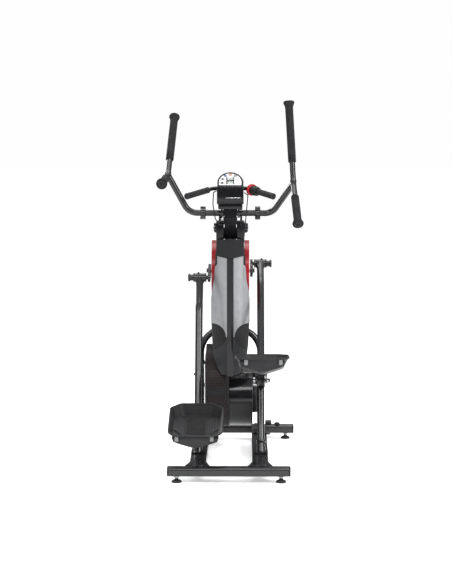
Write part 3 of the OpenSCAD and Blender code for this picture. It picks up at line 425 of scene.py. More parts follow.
def rod(bm, points, radius, bend=0.01, place=None, fine=5):
    line = bpy.data.curves.new("line", "CURVE")
    line.dimensions = "3D"
    line.bevel_depth = radius
    line.bevel_resolution = fine
    line.use_fill_caps = True
    spline = line.splines.new("POLY")
    path = softPath(points, bend)
    spline.points.add(len(path) - 1)
    for spot, p in zip(spline.points, path):
        spot.co = (*p, 1)
    holder = bpy.data.objects.new("line", line)
    bpy.context.scene.collection.objects.link(holder)
    bpy.context.view_layer.update()
    held = bpy.data.meshes.new_from_object(holder.evaluated_get(bpy.context.evaluated_depsgraph_get()))
    made = bmesh.new()
    made.from_mesh(held)
    bmesh.ops.remove_doubles(made, verts=made.verts, dist=1e-6)
    bpy.data.objects.remove(holder)
    bpy.data.meshes.remove(held)
    addShape(bm, made, place)


def moved(x, y, z):
    return Matrix.Translation((x, y, z))


def turn(degrees, axis):
    return Matrix.Rotation(math.radians(degrees), 4, axis)


def mirrored(side):
    return Matrix.Diagonal((side, 1, 1, 1))


# places of the machine, in metres

crank = (0.245, 0.811)
pivot = (0.125, 1.076)
fan = (0.275, 0.285)
track = 0.270
rollers = {right: (-0.110699, 0.361912), left: (-0.206959, 0.180872)}
leans = {right: 46.6273, left: 26.9932}
pins = {right: (0.386502, 0.831643), left: (0.103498, 0.790357)}
legLong = 0.684


def legPlace(side):
    return mirrored(side) @ moved(track / 2, *rollers[side]) @ turn(-leans[side], "X")


def handlePlace(side):
    return mirrored(side) @ moved(0, *pivot) @ turn(side * 17, "X")


# base

base = {"rearY": -0.55, "frontY": 0.5, "rearHalf": 0.2535, "frontHalf": 0.2935, "barLow": 0.028, "barHigh": 0.038,
        "barDeep": 0.056, "footIn": 0.039, "footR": 0.0215}


def buildBase():
    for node, width in (("rear_stabilizer", 0.0008), ("front_stabilizer", 0.0008), ("right_base_rail", 0.006),
            ("left_base_rail", 0.006), ("stabilizer_caps", 0.0022)):
        softened(node + "_finished", node, width, 3)
    bm, nuts = bmesh.new(), bmesh.new()
    for half, y in ((base["rearHalf"], base["rearY"]), (base["frontHalf"], base["frontY"])):
        for side in bothSides:
            spot = moved(side * (half - base["footIn"]), y, 0)
            r = base["footR"]
            turned(bm, [(0, 0), (0, r * 0.80), (0.0012, r * 0.94), (0.003, r), (0.0055, r), (0.0062, r * 0.93),
                        (0.009, r * 0.86), (0.0115, r * 0.7), (0.0135, r * 0.45), (0.0145, 0.008), (0.018, 0.008),
                        (0.0182, 0)], spot, 48)
            for i in range(12):  # grip ribs round the rim
                block(bm, (0.0016, 0.003, 0.004), spot @ turn(i * 30, "Z") @ moved(r * 0.93, 0, 0.0055), 0.0004, 1)
            turned(nuts, [(0.0145, 0.0045), (0.028, 0.0045)], spot, 24)
            for i in range(6):
                turned(nuts, [(0.019 + i * 0.0014, 0.0045), (0.0197 + i * 0.0014, 0.0052),
                        (0.0204 + i * 0.0014, 0.0045)], spot, 24)
            hexBolt(nuts, spot @ moved(0, 0, 0.0215), 0.0085, 0.0045)
    makePiece("levelling_foot_pads", bm, footRubber, "frame", ["levelling_feet"])
    makePiece("levelling_foot_stems", nuts, zincBolt, "frame")
    bolts, beads, plugs = bmesh.new(), bmesh.new(), bmesh.new()
    top = base["barLow"] + base["barHigh"]
    for side in bothSides:
        for y in (base["rearY"], base["frontY"]):
            for x in (0.115, 0.145):
                hexBolt(bolts, moved(side * x, y, top) , 0.0075, 0.0055)
        for half, y in ((base["rearHalf"], base["rearY"]), (base["frontHalf"], base["frontY"])):
            for z in (0.038, 0.056):  # ribs moulded in the end cap
                block(plugs, (0.0012, 0.030, 0.0015), moved(side * (half - 0.0008), y, z), 0.0003, 1)
            turned(plugs, [(-0.0012, 0.0006), (-0.0004, 0.0075), (0, 0.0068), (0, 0)],
                   moved(side * (half - 0.0002), y, 0.047) @ turn(side * 90, "Y"), 24)
        x = side * 0.130
        for y, across in ((base["rearY"] + 0.0285, 0.050), (base["frontY"] - 0.0285, 0.034)):
            rod(beads, [(x - across, y, top + 0.0002), (x + across, y, top + 0.0002)], 0.0024)
        # rail foot plates and arch foot plates
        for y, z in ((-0.225 - 0.028, top + 0.006), (-0.225 + 0.036, top + 0.006), (0.275 - 0.024, top + 0.006),
                (0.275 + 0.024, top + 0.006)):
            for dx in ((0,) if y < 0 else (-0.021, 0.021)):
                hexBolt(bolts, moved(side * (0.135 + dx), y, z), 0.0065, 0.0045)
        turned(beads, [(-0.0008, 0.0148), (0.0012, 0.0182), (0.0034, 0.0152)], moved(side * 0.135, 0.275, top + 0.0055),
               36)
    # knob and wheel guard on the front bar
    knob = bmesh.new()
    turned(knob, [(0, 0), (0, 0.006), (0.003, 0.006), (0.004, 0.0115), (0.0065, 0.0125), (0.010, 0.0118),
            (0.0125, 0.009), (0.0135, 0)], moved(0.215, 0.487, top), 28)
    for i in range(10):
        block(knob, (0.002, 0.0014, 0.005), moved(0.215, 0.487, top + 0.0075) @ turn(i * 36, "Z") @ moved(0.0122, 0, 0),
              0.0004, 1)
    for side in bothSides:
        slab(knob, [(0.026, 0), (0.024, 0.010), (0.012, 0.0175), (-0.006, 0.019), (-0.022, 0.012), (-0.026, 0)], 0.030,
             moved(side * 0.175, 0.512, top) @ turn(90, "Z") @ turn(90, "X") @ moved(0, 0, -0.015), 0.003, 3)
    makePiece("front_bar_knob", knob, mattCover, "frame")
    makePiece("base_bolts", bolts, blackBolt, "frame")
    makePiece("weld_beads", beads, powderBlack, "frame")
    makePiece("cap_ribs", plugs, mattCover, "frame")
    wheels = bmesh.new()
    for side in bothSides:
        turned(wheels, [(-0.010, 0.0045), (-0.010, 0.0155), (-0.0075, 0.0165), (-0.0075, 0.0195), (-0.010, 0.0205),
                        (-0.010, 0.0225), (-0.0088, 0.0240), (0.0088, 0.0240), (0.010, 0.0225), (0.010, 0.0205),
                        (0.0075, 0.0195), (0.0075, 0.0165), (0.010, 0.0155), (0.010, 0.0045)],
               moved(side * 0.175, 0.554, 0.032) @ turn(90, "Y"), 48)
        for out in bothSides:
            hexBolt(wheels, moved(side * 0.175 + out * 0.0145, 0.554, 0.032) @ turn(out * 90, "Y"), 0.0055, 0.003)
    makePiece("transport_rollers", wheels, rollerNylon, "transport", ["transport_wheels"])


buildBase()
print("base built")

# rails, arch and mast

def buildUprights():
    for node, width in (("right_rail", 0.0007), ("left_rail", 0.0007), ("brace_arch", 0.0007), ("mast", 0.004)):
        softened(node + "_finished", node, width, 2)
    collars, stops = bmesh.new(), bmesh.new()
    slope = Vector((0, math.cos(math.radians(62)), math.sin(math.radians(62))))
    for side in bothSides:
        foot = Vector((side * 0.135, -0.225, 0.066))
        lower = aimed(foot + slope * 0.040, foot + slope)
        turned(collars, [(0, 0.0152), (0, 0.0195), (0.0015, 0.0205), (0.012, 0.0205), (0.014, 0.019), (0.014, 0.0152)],
               lower, 40)
        upper = aimed(foot + slope * 0.352, foot + slope)
        turned(stops, [(0, 0.0151), (0, 0.0185), (0.001, 0.0195), (0.008, 0.0195), (0.009, 0.0185), (0.009, 0.0151)],
               upper, 40)
        block(stops, (0.006, 0.008, 0.010), aimed(foot + slope * 0.3565 + Vector((side * 0.0205, 0, 0)),
                foot + slope * 2 + Vector((side * 0.0205, 0, 0))), 0.0008)
        turned(collars, [(-0.001, 0.0150), (0.002, 0.0188), (0.005, 0.0152)],
               moved(side * 0.135, 0.2595, 0.3918) @ turn(-90, "X"), 36)
    makePiece("rail_foot_collars", collars, powderBlack, "frame")
    makePiece("rail_stops", stops, gripRubber, "frame")


buildUprights()
print("uprights built")

# pedals

pedal = {"wide": 0.226, "long": 0.322, "toeHigh": 0.058, "heelHigh": 0.016, "flare": 0.016, "wall": 0.004,
         "floor": 0.006, "toeCut": 0.046, "heelRound": 0.050, "tread": 34.7, "ribs": 36}


def pedalPlace(side):
    return legPlace(side) @ moved(0.003, -0.064, 0.020) @ turn(pedal["tread"], "X")


def rimAt(y):
    share = (y + pedal["long"]) / pedal["long"]
    return pedal["heelHigh"] + (pedal["toeHigh"] - pedal["heelHigh"]) * min(max(share, 0), 1)


def pedalFace(bm, grow=0.0):
    w, length, cut = pedal["wide"] / 2 + grow, pedal["long"] + 2 * grow, pedal["toeCut"]
    corners = [(-w, grow - cut), (-w + cut, grow), (w - cut, grow), (w, grow - cut), (w, grow - length),
               (-w, grow - length)]
    face = bm.faces.new([bm.verts.new((x, y, 0)) for x, y in corners])
    face.normal_update()
    bm.verts.ensure_lookup_table()
    toe = bm.verts[0:4]
    bmesh.ops.bevel(bm, geom=toe, offset=0.012, segments=4, profile=0.5, affect="VERTICES", material=-1)
    bmesh.ops.bevel(bm, geom=[v for v in bm.verts if v.co.y < grow - length + 1e-5], offset=pedal["heelRound"],
            segments=10, profile=0.5, affect="VERTICES", material=-1)
    return bm.faces[:]


def sunk(v, height):
    # carries a rim point down the flared wall to a height
    t = 1 - height / pedal["toeHigh"]
    middle = -pedal["long"] / 2
    v.co.x *= 1 - t * pedal["flare"] * 2 / pedal["wide"]
    v.co.y = middle + (v.co.y - middle) * (1 - t * 0.074)
    v.co.z = height


def buildPedal(side):
    name = sideName[side]
    place = pedalPlace(side)
    bm = bmesh.new()
    made = bmesh.new()
    faces = pedalFace(made)
    raised = bmesh.ops.extrude_face_region(made, geom=faces)
    tops = newVerts(raised)
    cap = [f for f in raised["geom"] if isinstance(f, bmesh.types.BMFace)]
    lows = [v for v in made.verts if v not in tops]
    for v in tops:
        v.co.z = rimAt(v.co.y) - 0.001
    for v in lows:
        sunk(v, 0)
    bmesh.ops.inset_region(made, faces=cap, thickness=pedal["wall"], use_even_offset=True)
    sinks = bmesh.ops.extrude_face_region(made, geom=cap)
    bmesh.ops.delete(made, geom=cap, context="FACES")
    for v in newVerts(sinks):
        sunk(v, pedal["floor"])
    bmesh.ops.recalc_face_normals(made, faces=made.faces)
    rims = [e for e in made.edges if len(e.link_faces) == 2 and e.calc_face_angle(0) > 0.6]
    roundOver(made, rims, 0.0016, 3)
    addShape(bm, made, place)
    # rolled lip round the rim
    lip = bmesh.new()
    faces = pedalFace(lip, 0.0015)
    for v in lip.verts:
        v.co.z = rimAt(v.co.y) - 0.0065
    ring = bmesh.ops.inset_region(lip, faces=faces, thickness=0.0062, use_even_offset=True, use_boundary=True)
    bmesh.ops.delete(lip, geom=[f for f in lip.faces if f not in ring["faces"]], context="FACES")
    up = bmesh.ops.extrude_face_region(lip, geom=lip.faces[:])
    bmesh.ops.translate(lip, vec=(0, 0, 0.0065), verts=newVerts(up))
    bmesh.ops.recalc_face_normals(lip, faces=lip.faces)
    rims = [e for e in lip.edges if e.calc_face_angle(0) > 0.9]
    roundOver(lip, rims, 0.0013, 3)
    addShape(bm, lip, place)
    # pod and wings below
    block(bm, (0.036, 0.262, 0.027), place @ moved(-0.003, -0.1565, -0.0125), 0.006, 3)
    for x in (-1, 1):
        slab(bm, [(0.034, -0.070), (0.080, -0.085), (0.092, -0.120), (0.092, -0.200), (0.074, -0.238), (0.034, -0.262),
                  (0.014, -0.262), (0.014, -0.070)], 0.008, place @ mirrored(x) @ moved(0, 0, -0.0085), 0.0025, 3)
        for y in (-0.115, -0.165, -0.215):
            block(bm, (0.058, 0.004, 0.014), place @ moved(x * 0.045, y, -0.009), 0.0012)
    keel = [(-0.097, 0.002), (-0.091, -0.018), (-0.060, -0.029), (-0.026, -0.039), (-0.010, -0.043), (0.010, -0.043),
            (0.026, -0.039), (0.060, -0.029), (0.091, -0.018), (0.097, 0.002)]
    slab(bm, keel, 0.150, place @ moved(0, 0.0125 - pedal["long"], 0) @ turn(90, "X") @ moved(0, 0, -0.150), 0.004, 3)
    makePiece(name + "_pedal_tray", bm, pedalGrain, name + "_leg", [name + "_pedal"], sharp=40)
    # tread: cross ribs down the middle, long ribs beside them, slanted ribs in the heel corners
    grip = bmesh.new()
    low = pedal["floor"]
    for i in range(pedal["ribs"]):
        y = -0.050 - i * 0.0066
        block(grip, (0.082 if y < -0.07 else 0.070, 0.0026, 0.0030), place @ moved(0, y, low + 0.0006), 0.0005, 1)
    for x in (-1, 1):
        block(grip, (0.003, 0.244, 0.0034), place @ moved(x * 0.0465, -0.166, low + 0.0006), 0.0008)
        for i, (dx, start, end) in enumerate(((0.056, -0.050, -0.270), (0.066, -0.060, -0.225), (0.076, -0.080,
            -0.205))):
            rod(grip, [(x * dx, start, low + 0.0002), (x * dx, end, low + 0.0002)], 0.0016, place=place, fine=3)
        for i in range(6):
            cx, cy = 0.060 + i * 0.0055, -0.285 + i * 0.013
            rod(grip, [(x * (cx - 0.011), cy - 0.009, low + 0.0002), (x * (cx + 0.013), cy + 0.011, low + 0.0002)],
                0.0017, place=place, fine=3)
    makePiece(name + "_pedal_tread", grip, treadRubber, name + "_leg")
    pads = bmesh.new()
    heel = -pedal["long"]
    for x in (-0.068, 0.076):
        block(pads, (0.015, 0.006, 0.0215), place @ moved(x, heel + 0.0085, -0.002), 0.002, 3)
        block(pads, (0.011, 0.010, 0.004), place @ moved(x, heel + 0.0155, -0.0125), 0.001, 2)
    makePiece(name + "_pedal_buffers", pads, padGrey, name + "_leg")
    bolts = bmesh.new()
    for y in (-0.045, -0.095, -0.230):
        for x in (-1, 1):
            hexBolt(bolts, place @ moved(-0.003 + x * 0.0175, y - 0.010, -0.013) @ turn(x * 90, "Y"), 0.005, 0.0035)
    makePiece(name + "_pedal_bolts", bolts, blackBolt, name + "_leg")


for side in bothSides:
    buildPedal(side)
print("pedals built")

# legs, crank arms and rollers

def buildLeg(side):
    name = sideName[side]
    softened(name + "_leg_finished", name + "_leg", 0.0009, 2)
    place = legPlace(side)
    caps, bright = bmesh.new(), bmesh.new()
    top = place @ moved(0, 0, legLong)
    for x in (-1, 1):
        turned(caps, [(0, 0.0150), (0, 0.0192), (0.0025, 0.0204), (0.0055, 0.0204), (0.0065, 0.0192), (0.0065, 0.0150)],
               top @ moved(x * 0.0225, 0, 0) @ turn(x * 90, "Y"), 40)
    turned(caps, [(0.043, 0.0172), (0.0445, 0.0182), (0.049, 0.0180), (0.0512, 0.0160), (0.0518, 0.009), (0.0508,
        0.007),
            (0.0508, 0)], top @ turn(90, "Y"), 36)
    for y in (-0.010, 0.010):  # clamp screws across the bearing block
        hexBolt(bright, top @ moved(0.006, y, 0.0178) @ turn(-y * 900, "X"), 0.0042, 0.003)
    turned(caps, [(-0.004, 0.0160), (-0.001, 0.0198), (0.003, 0.0162)], place @ moved(0, 0, legLong - 0.0215), 36)
    # weld round the tube where it meets the bridge between the forks
    turned(caps, [(0.046, 0.0160), (0.0475, 0.0196), (0.051, 0.0162)], place @ moved(0, -0.030, 0), 36)
    for x in (-1, 1):
        out = place @ moved(x * 0.025, -0.030, 0.060) @ turn(x * 90, "Y")
        hexBolt(bright, out, 0.0062, 0.0045)
        hexBolt(bright, place @ moved(x * 0.025, -0.030, 0.082) @ turn(x * 90, "Y"), 0.0062, 0.0045)
    makePiece(name + "_leg_caps", caps, powderBlack, name + "_leg")
    makePiece(name + "_leg_bolts", bright, blackBolt, name + "_leg")
    wheel = bmesh.new()
    hub = place @ turn(90, "Y")
    profile = [(-0.017, 0.0081), (-0.017, 0.014), (-0.0155, 0.0155), (-0.0155, 0.024), (-0.017, 0.026), (-0.017,
        0.0300),
               (-0.0160, 0.0308)]
    for i in range(-8, 9):  # waist that follows the round rail
        x = i * 0.00155
        profile.append((x, 0.038 - math.sqrt(0.0153 ** 2 - x * x)))
    profile += [(0.0160, 0.0308), (0.017, 0.0300), (0.017, 0.026), (0.0155, 0.024), (0.0155, 0.0155), (0.017, 0.014),
                (0.017, 0.0081), (-0.017, 0.0081)]
    turned(wheel, profile, hub, 56)
    makePiece(name + "_roller_finished", wheel, rollerNylon, name + "_roller", [name + "_roller"])
    ends = bmesh.new()
    for x in (-1, 1):
        hexBolt(ends, place @ moved(x * 0.0325, 0, 0) @ turn(x * 90, "Y"), 0.0085, 0.006)
    makePiece(name + "_roller_axle_nuts", ends, blackBolt, name + "_carriage")
    softened(name + "_crank_arm_finished", name + "_crank_arm", 0.0025, 3)
    arm, pin = bmesh.new(), pins[side]
    outer = side * 0.100
    turned(arm, [(0, 0.0155), (0.0008, 0.0165), (0.0012, 0.0165), (0.0012, 0)],
           moved(outer - side * 0.0004, *crank) @ turn(side * 90, "Y"), 36)
    hexBolt(arm, moved(outer + side * 0.0006, *crank) @ turn(side * 90, "Y"), 0.0105, 0.0068)
    makePiece(name + "_crank_arm_bolt", arm, blackBolt, "crank")
    rib = bmesh.new()
    middle = ((crank[0] + pin[0]) / 2, (crank[1] + pin[1]) / 2)
    slant = math.degrees(math.atan2(pin[1] - crank[1], pin[0] - crank[0]))
    block(rib, (0.0016, 0.075, 0.016), moved(outer + side * 0.0004, *middle) @ turn(slant, "X"), 0.0006)
    makePiece(name + "_crank_arm_rib", rib, powderBlack, "crank")


for side in bothSides:
    buildLeg(side)
print("legs built")

# housing: drum, fan, covers

drum = {"radius": 0.186, "leftSide": -0.109, "hexPitch": 0.0135, "band": (0.268, 0.304)}


def buildHousing():
    for node, width in (("fan_cover", 0.0035), ("collar_cover", 0.0016), ("spine_shell", 0.0006),
            ("front_cover", 0.0016), ("head_cover", 0.004), ("silver_panels", 0.0009),
            ("spine_ridge", 0.0008), ("right_shroud", 0.002), ("left_shroud", 0.002)):
        softened(node + "_finished", node, width, 3 if width > 0.0015 else 2)
    # pierced drum face: a net of small ribs laid round the curve, over a sheet painted dark reddish as the shade inside
    # the drum
    net, rims = bmesh.new(), bmesh.new()
    r = drum["radius"] + 0.0004
    pitch = drum["hexPitch"]
    arc = pitch / r
    for row in range(-50, 50):
        for column in range(7):
            x = -0.098 + column * pitch + (pitch / 2 if row % 2 else 0)
            angle = row * arc * 0.866
            if x > -0.012:
                continue
            z = fan[1] + r * math.sin(angle)
            if abs(angle) < 1 and drum["band"][0] < z < drum["band"][1]:
                continue
            cell = Matrix.Translation((x, fan[0], fan[1])) @ Matrix.Rotation(-angle, 4, "X") @ moved(0, -r, 0) @ \
                turn(90, "X")
            ring = bmesh.new()
            bmesh.ops.create_circle(ring, segments=6, radius=pitch * 0.575, cap_ends=True)
            bmesh.ops.rotate(ring, verts=ring.verts, matrix=Matrix.Rotation(math.radians(30), 3, "Z"))
            inner = bmesh.ops.inset_region(ring, faces=ring.faces[:], thickness=pitch * 0.20, use_even_offset=True,
                    use_boundary=True)
            bmesh.ops.delete(ring, geom=[f for f in ring.faces if f not in inner["faces"]], context="FACES")
            up = bmesh.ops.extrude_face_region(ring, geom=ring.faces[:])
            bmesh.ops.translate(ring, vec=(0, 0, 0.0016), verts=[v for v in up["geom"]
                    if isinstance(v, bmesh.types.BMVert)])
            addShape(net, ring, cell)
    makePiece("drum_net", net, mattCover, "frame", sharp=25)
    hub = moved(0, *fan) @ turn(90, "Y")
    for x in (drum["leftSide"] + 0.0012, -0.0085):
        turned(rims, [(x - 0.0018, r - 0.006), (x - 0.0018, r + 0.0012), (x, r + 0.0024), (x + 0.0018, r + 0.0012),
                (x + 0.0018, r - 0.006)], hub, 96)
    for z in drum["band"]:
        angle = math.asin((z - fan[1]) / r)
        block(rims, (0.094, 0.0024, 0.0030), Matrix.Translation((-0.0575, *fan)) @ Matrix.Rotation(-angle, 4, "X") @
              moved(0, -r - 0.0004, 0), 0.0006)
    for radius in (0.140, 0.095, 0.045):  # rings pressed in the side of the drum
        turned(rims, [(drum["leftSide"] - 0.0046, radius - 0.003), (drum["leftSide"] - 0.0064, radius),
                (drum["leftSide"] - 0.0046, radius + 0.003)], hub, 72)
    block(rims, (0.0135, 0.0030, 0.200), moved(-0.0135, fan[0] - drum["radius"] - 0.0012, 0.345), 0.0012)
    makePiece("drum_rims", rims, mattCover, "frame")
    # a dark reddish sheet behind the net (the fan's reddish brown, darkened as painted shade of the drum's inside), and
    # a smooth band over it, as thin sheets round the drum
    sheet, strip, dish, guard = bmesh.new(), bmesh.new(), bmesh.new(), bmesh.new()
    band = [math.degrees(math.asin((z - fan[1]) / r)) for z in drum["band"]]
    for target, proud, start, end in ((sheet, 0.0002, -180, 180), (strip, 0.0012, band[0], band[1])):
        made = bmesh.new()
        corners = [made.verts.new((x, -far, 0)) for x, far in ((-0.1045, r - 0.0003), (-0.0120, r - 0.0003),
                (-0.0120, r + proud), (-0.1045, r + proud))]
        face = made.faces.new(corners)
        bmesh.ops.rotate(made, verts=made.verts, cent=(0, 0, 0), matrix=Matrix.Rotation(math.radians(-start), 3, "X"))
        bmesh.ops.spin(made, geom=[face], cent=(0, 0, 0), axis=(1, 0, 0), dvec=(0, 0, 0),
                angle=math.radians(start - end), steps=max(int((end - start) / 2), 6), use_merge=False,
                use_duplicate=False)
        addShape(target, made, moved(0, *fan))
    makePiece("drum_fan_red_painted_shade", sheet, fanRedPaintedShade, "frame")
    makePiece("drum_band", strip, mattCover, "frame")
    turned(dish, [(drum["leftSide"] + 0.0004, 0.178), (drum["leftSide"] - 0.0022, 0.172),
            (drum["leftSide"] - 0.0046, 0.150), (drum["leftSide"] - 0.0052, 0.120),
            (drum["leftSide"] - 0.0052, 0.0)], hub, 96)
    makePiece("drum_side_dish", dish, mattCover, "frame")
    block(guard, (0.024, 0.030, 0.205), moved(0.1105, 0.285, 0.262), 0.005, 3)
    makePiece("cover_side_guard", guard, glossCover, "frame")
    greys, screws = bmesh.new(), bmesh.new()
    for radius in (0.092, 0.055):
        turned(greys, [(0.0994, radius - 0.0025), (0.1004, radius), (0.0994, radius + 0.0025)], hub, 72)
    makePiece("cover_rings", greys, glossCover, "frame")
    for degrees in (40, 130, 220, 310):
        a = math.radians(degrees)
        spot = moved(drum["leftSide"] - 0.0004, fan[0] + 0.168 * math.cos(a), fan[1] + 0.168 * math.sin(a))
        turned(screws, [(0, 0.0045), (0.0012, 0.004), (0.0016, 0.0022), (0.0008, 0.0018), (0.0008, 0)],
               spot @ turn(-90, "Y"), 24)
    for side in bothSides:
        for z in (0.535, 0.690, 0.835):
            turned(screws, [(0, 0.0042), (0.0011, 0.0037), (0.0015, 0.0020), (0.0007, 0.0017), (0.0007, 0)],
                   moved(side * 0.0575, 0.3, z) @ turn(side * 90, "Y"), 24)
    makePiece("cover_screws", screws, blackBolt, "frame")


buildHousing()
print("housing built")

# handles, links and grips

handle = {"joint": (0.276, -0.056, 0.158), "top": (0.256, 0.107, 0.483), "low": (0.292, -0.295, 0.052),
          "topLong": 0.272, "lowLong": 0.176}


def foamGrip(bm, start, end, tube, radius, flare):
    # foam sleeve with a rolled collar at one end and a flared bead at the free end
    place = aimed(start, end)
    long = (Vector(end) - Vector(start)).length
    profile = [(0, tube), (0, radius - 0.0020), (0.0015, radius - 0.0004), (0.005, radius), (0.0062, radius - 0.0008),
               (0.0074, radius - 0.0008), (0.0086, radius)]
    for i in range(1, 6):
        y = 0.0086 + i * 0.0040
        profile += [(y - 0.0022, radius), (y - 0.0014, radius - 0.0008), (y - 0.0004, radius - 0.0008), (y, radius)]
    profile += [(long - 0.034, radius), (long - 0.026, radius + 0.0008), (long - 0.018,
        radius + (flare - radius) * 0.5),
                (long - 0.012, flare - 0.0008), (long - 0.007, flare), (long - 0.003, flare - 0.0012),
                (long - 0.0008, flare - 0.0045), (long, flare - 0.009), (long - 0.0008, 0.0065), (long - 0.0008, 0)]
    turned(bm, profile, place, 48)


def buildHandle(side):
    name = sideName[side]
    softened(name + "_handle_finished", name + "_handle", 0.0010, 2)
    softened(name + "_link_finished", name + "_link", 0.0012, 2)
    place = handlePlace(side)
    joint, top, low = (Vector(handle[k]) for k in ("joint", "top", "low"))
    grips = bmesh.new()
    for end, long in ((top, handle["topLong"]), (low, handle["lowLong"])):
        start = end + (joint - end).normalized() * long
        made = bmesh.new()
        foamGrip(made, start, end, 0.0142, 0.0175, 0.0245)
        addShape(grips, made, place)
    makePiece(name + "_foam_grips", grips, gripFoam, name + "_handle", [name + "_handle_grips"])
    bolts, marks = bmesh.new(), bmesh.new()
    for z in (-0.0205, 0.0205):
        hexBolt(bolts, place @ moved(0.121, -0.009, z) @ turn(90, "X"), 0.0040, 0.0030)
        block(marks, (0.0240, 0.0200, 0.0110), place @ moved(0.121, 0, z * 1.10), 0.0022, 3)
    block(marks, (0.0165, 0.0125, 0.0050), place @ moved(0.121 + (0.006 if side == left else 0), 0, -0.0255), 0.0015)
    makePiece(name + "_handle_bolts", bolts, blackBolt, name + "_handle")
    turned(marks, [(0.1095, 0.0142), (0.1100, 0.0165), (0.1112, 0.0165), (0.1120, 0.0142)], place @ turn(90, "Y"), 40)
    for far in (0.004, 0.010):
        turned(marks, [(far, 0.0141), (far + 0.001, 0.0150), (far + 0.003, 0.0150), (far + 0.004, 0.0141)],
               aimed(place @ joint, place @ (joint + (top - joint) * 0.2)), 32)
    makePiece(name + "_handle_rings", marks, powderBlack, name + "_handle")


for side in bothSides:
    buildHandle(side)


def buildHornGrips():
    softened("aero_bar_finished", "aero_bar", 0.0006, 2)
    grips, ring = bmesh.new(), bmesh.new()
    for side in bothSides:
        end = Vector((side * 0.190, -0.045, 1.155))
        root = Vector((side * 0.074, 0.125, 1.185))
        line = (root - end).normalized()
        long = 0.118 if side == right else 0.166
        made = bmesh.new()
        r = 0.0135
        profile = [(0, 0.009), (0, r - 0.002), (0.0015, r), (0.004, r + 0.0008), (0.006, r)]
        for i in range(int((long - 0.034) / 0.0052)):
            y = 0.010 + i * 0.0052
            profile += [(y, r), (y + 0.0008, r - 0.0007), (y + 0.0018, r - 0.0007), (y + 0.0026, r)]
        profile += [(long - 0.020, r), (long - 0.010, r + 0.0002), (long - 0.004, r + 0.0006), (long - 0.001,
            r - 0.002),
                    (long, r - 0.006), (long, 0)]
        turned(made, profile, aimed(end + line * long, end), 40)
        addShape(grips, made)
        if side == right:  # twist body in front of the ring
            turned(grips, [(0.1215, 0.0100), (0.1215, 0.0155), (0.1235, 0.0175), (0.128, 0.0200), (0.134, 0.0210),
                    (0.158, 0.0210), (0.1625, 0.0196), (0.1630, 0.0100)], aimed(end, end + line), 48)
            for i in range(14):
                block(grips, (0.0016, 0.0030, 0.0200), aimed(end, end + line) @ turn(i * 360 / 14, "Z") @
                      moved(0.0208, 0, 0.146), 0.0005, 1)
    makePiece("horn_grips", grips, gripRubber, "frame", ["aero_grips"])


buildHornGrips()
print("handles built")

# console

console = {"wide": 0.114, "high": 0.080, "glass": (0.028, 0.036), "glassAt": (0.0, 0.033)}


def consolePlace():
    return moved(0, 0.070, 1.195) @ turn(50, "X")


def digit(bm, place, size, lit):
    # seven-segment figure; lit holds the segments shown
    w, h, t = size * 0.46, size, size * 0.11
    spots = {"a": (0, h / 2, 1), "g": (0, 0, 1), "d": (0, -h / 2, 1), "f": (-w / 2, h / 4, 0), "b": (w / 2, h / 4, 0),
             "e": (-w / 2, -h / 4, 0), "c": (w / 2, -h / 4, 0)}
    for key in lit:
        x, y, flat = spots[key]
        block(bm, (w - t, t, 0.0003) if flat else (t, h / 2 - t, 0.0003), place @ moved(x, y, 0), 0)


figures = {"0": "abcdef", "1": "bc", "2": "abged", "3": "abgcd", "4": "fgbc", "5": "afgcd", "6": "afgedc", "7": "abc",
           "8": "abcdefg", "9": "abcfgd"}


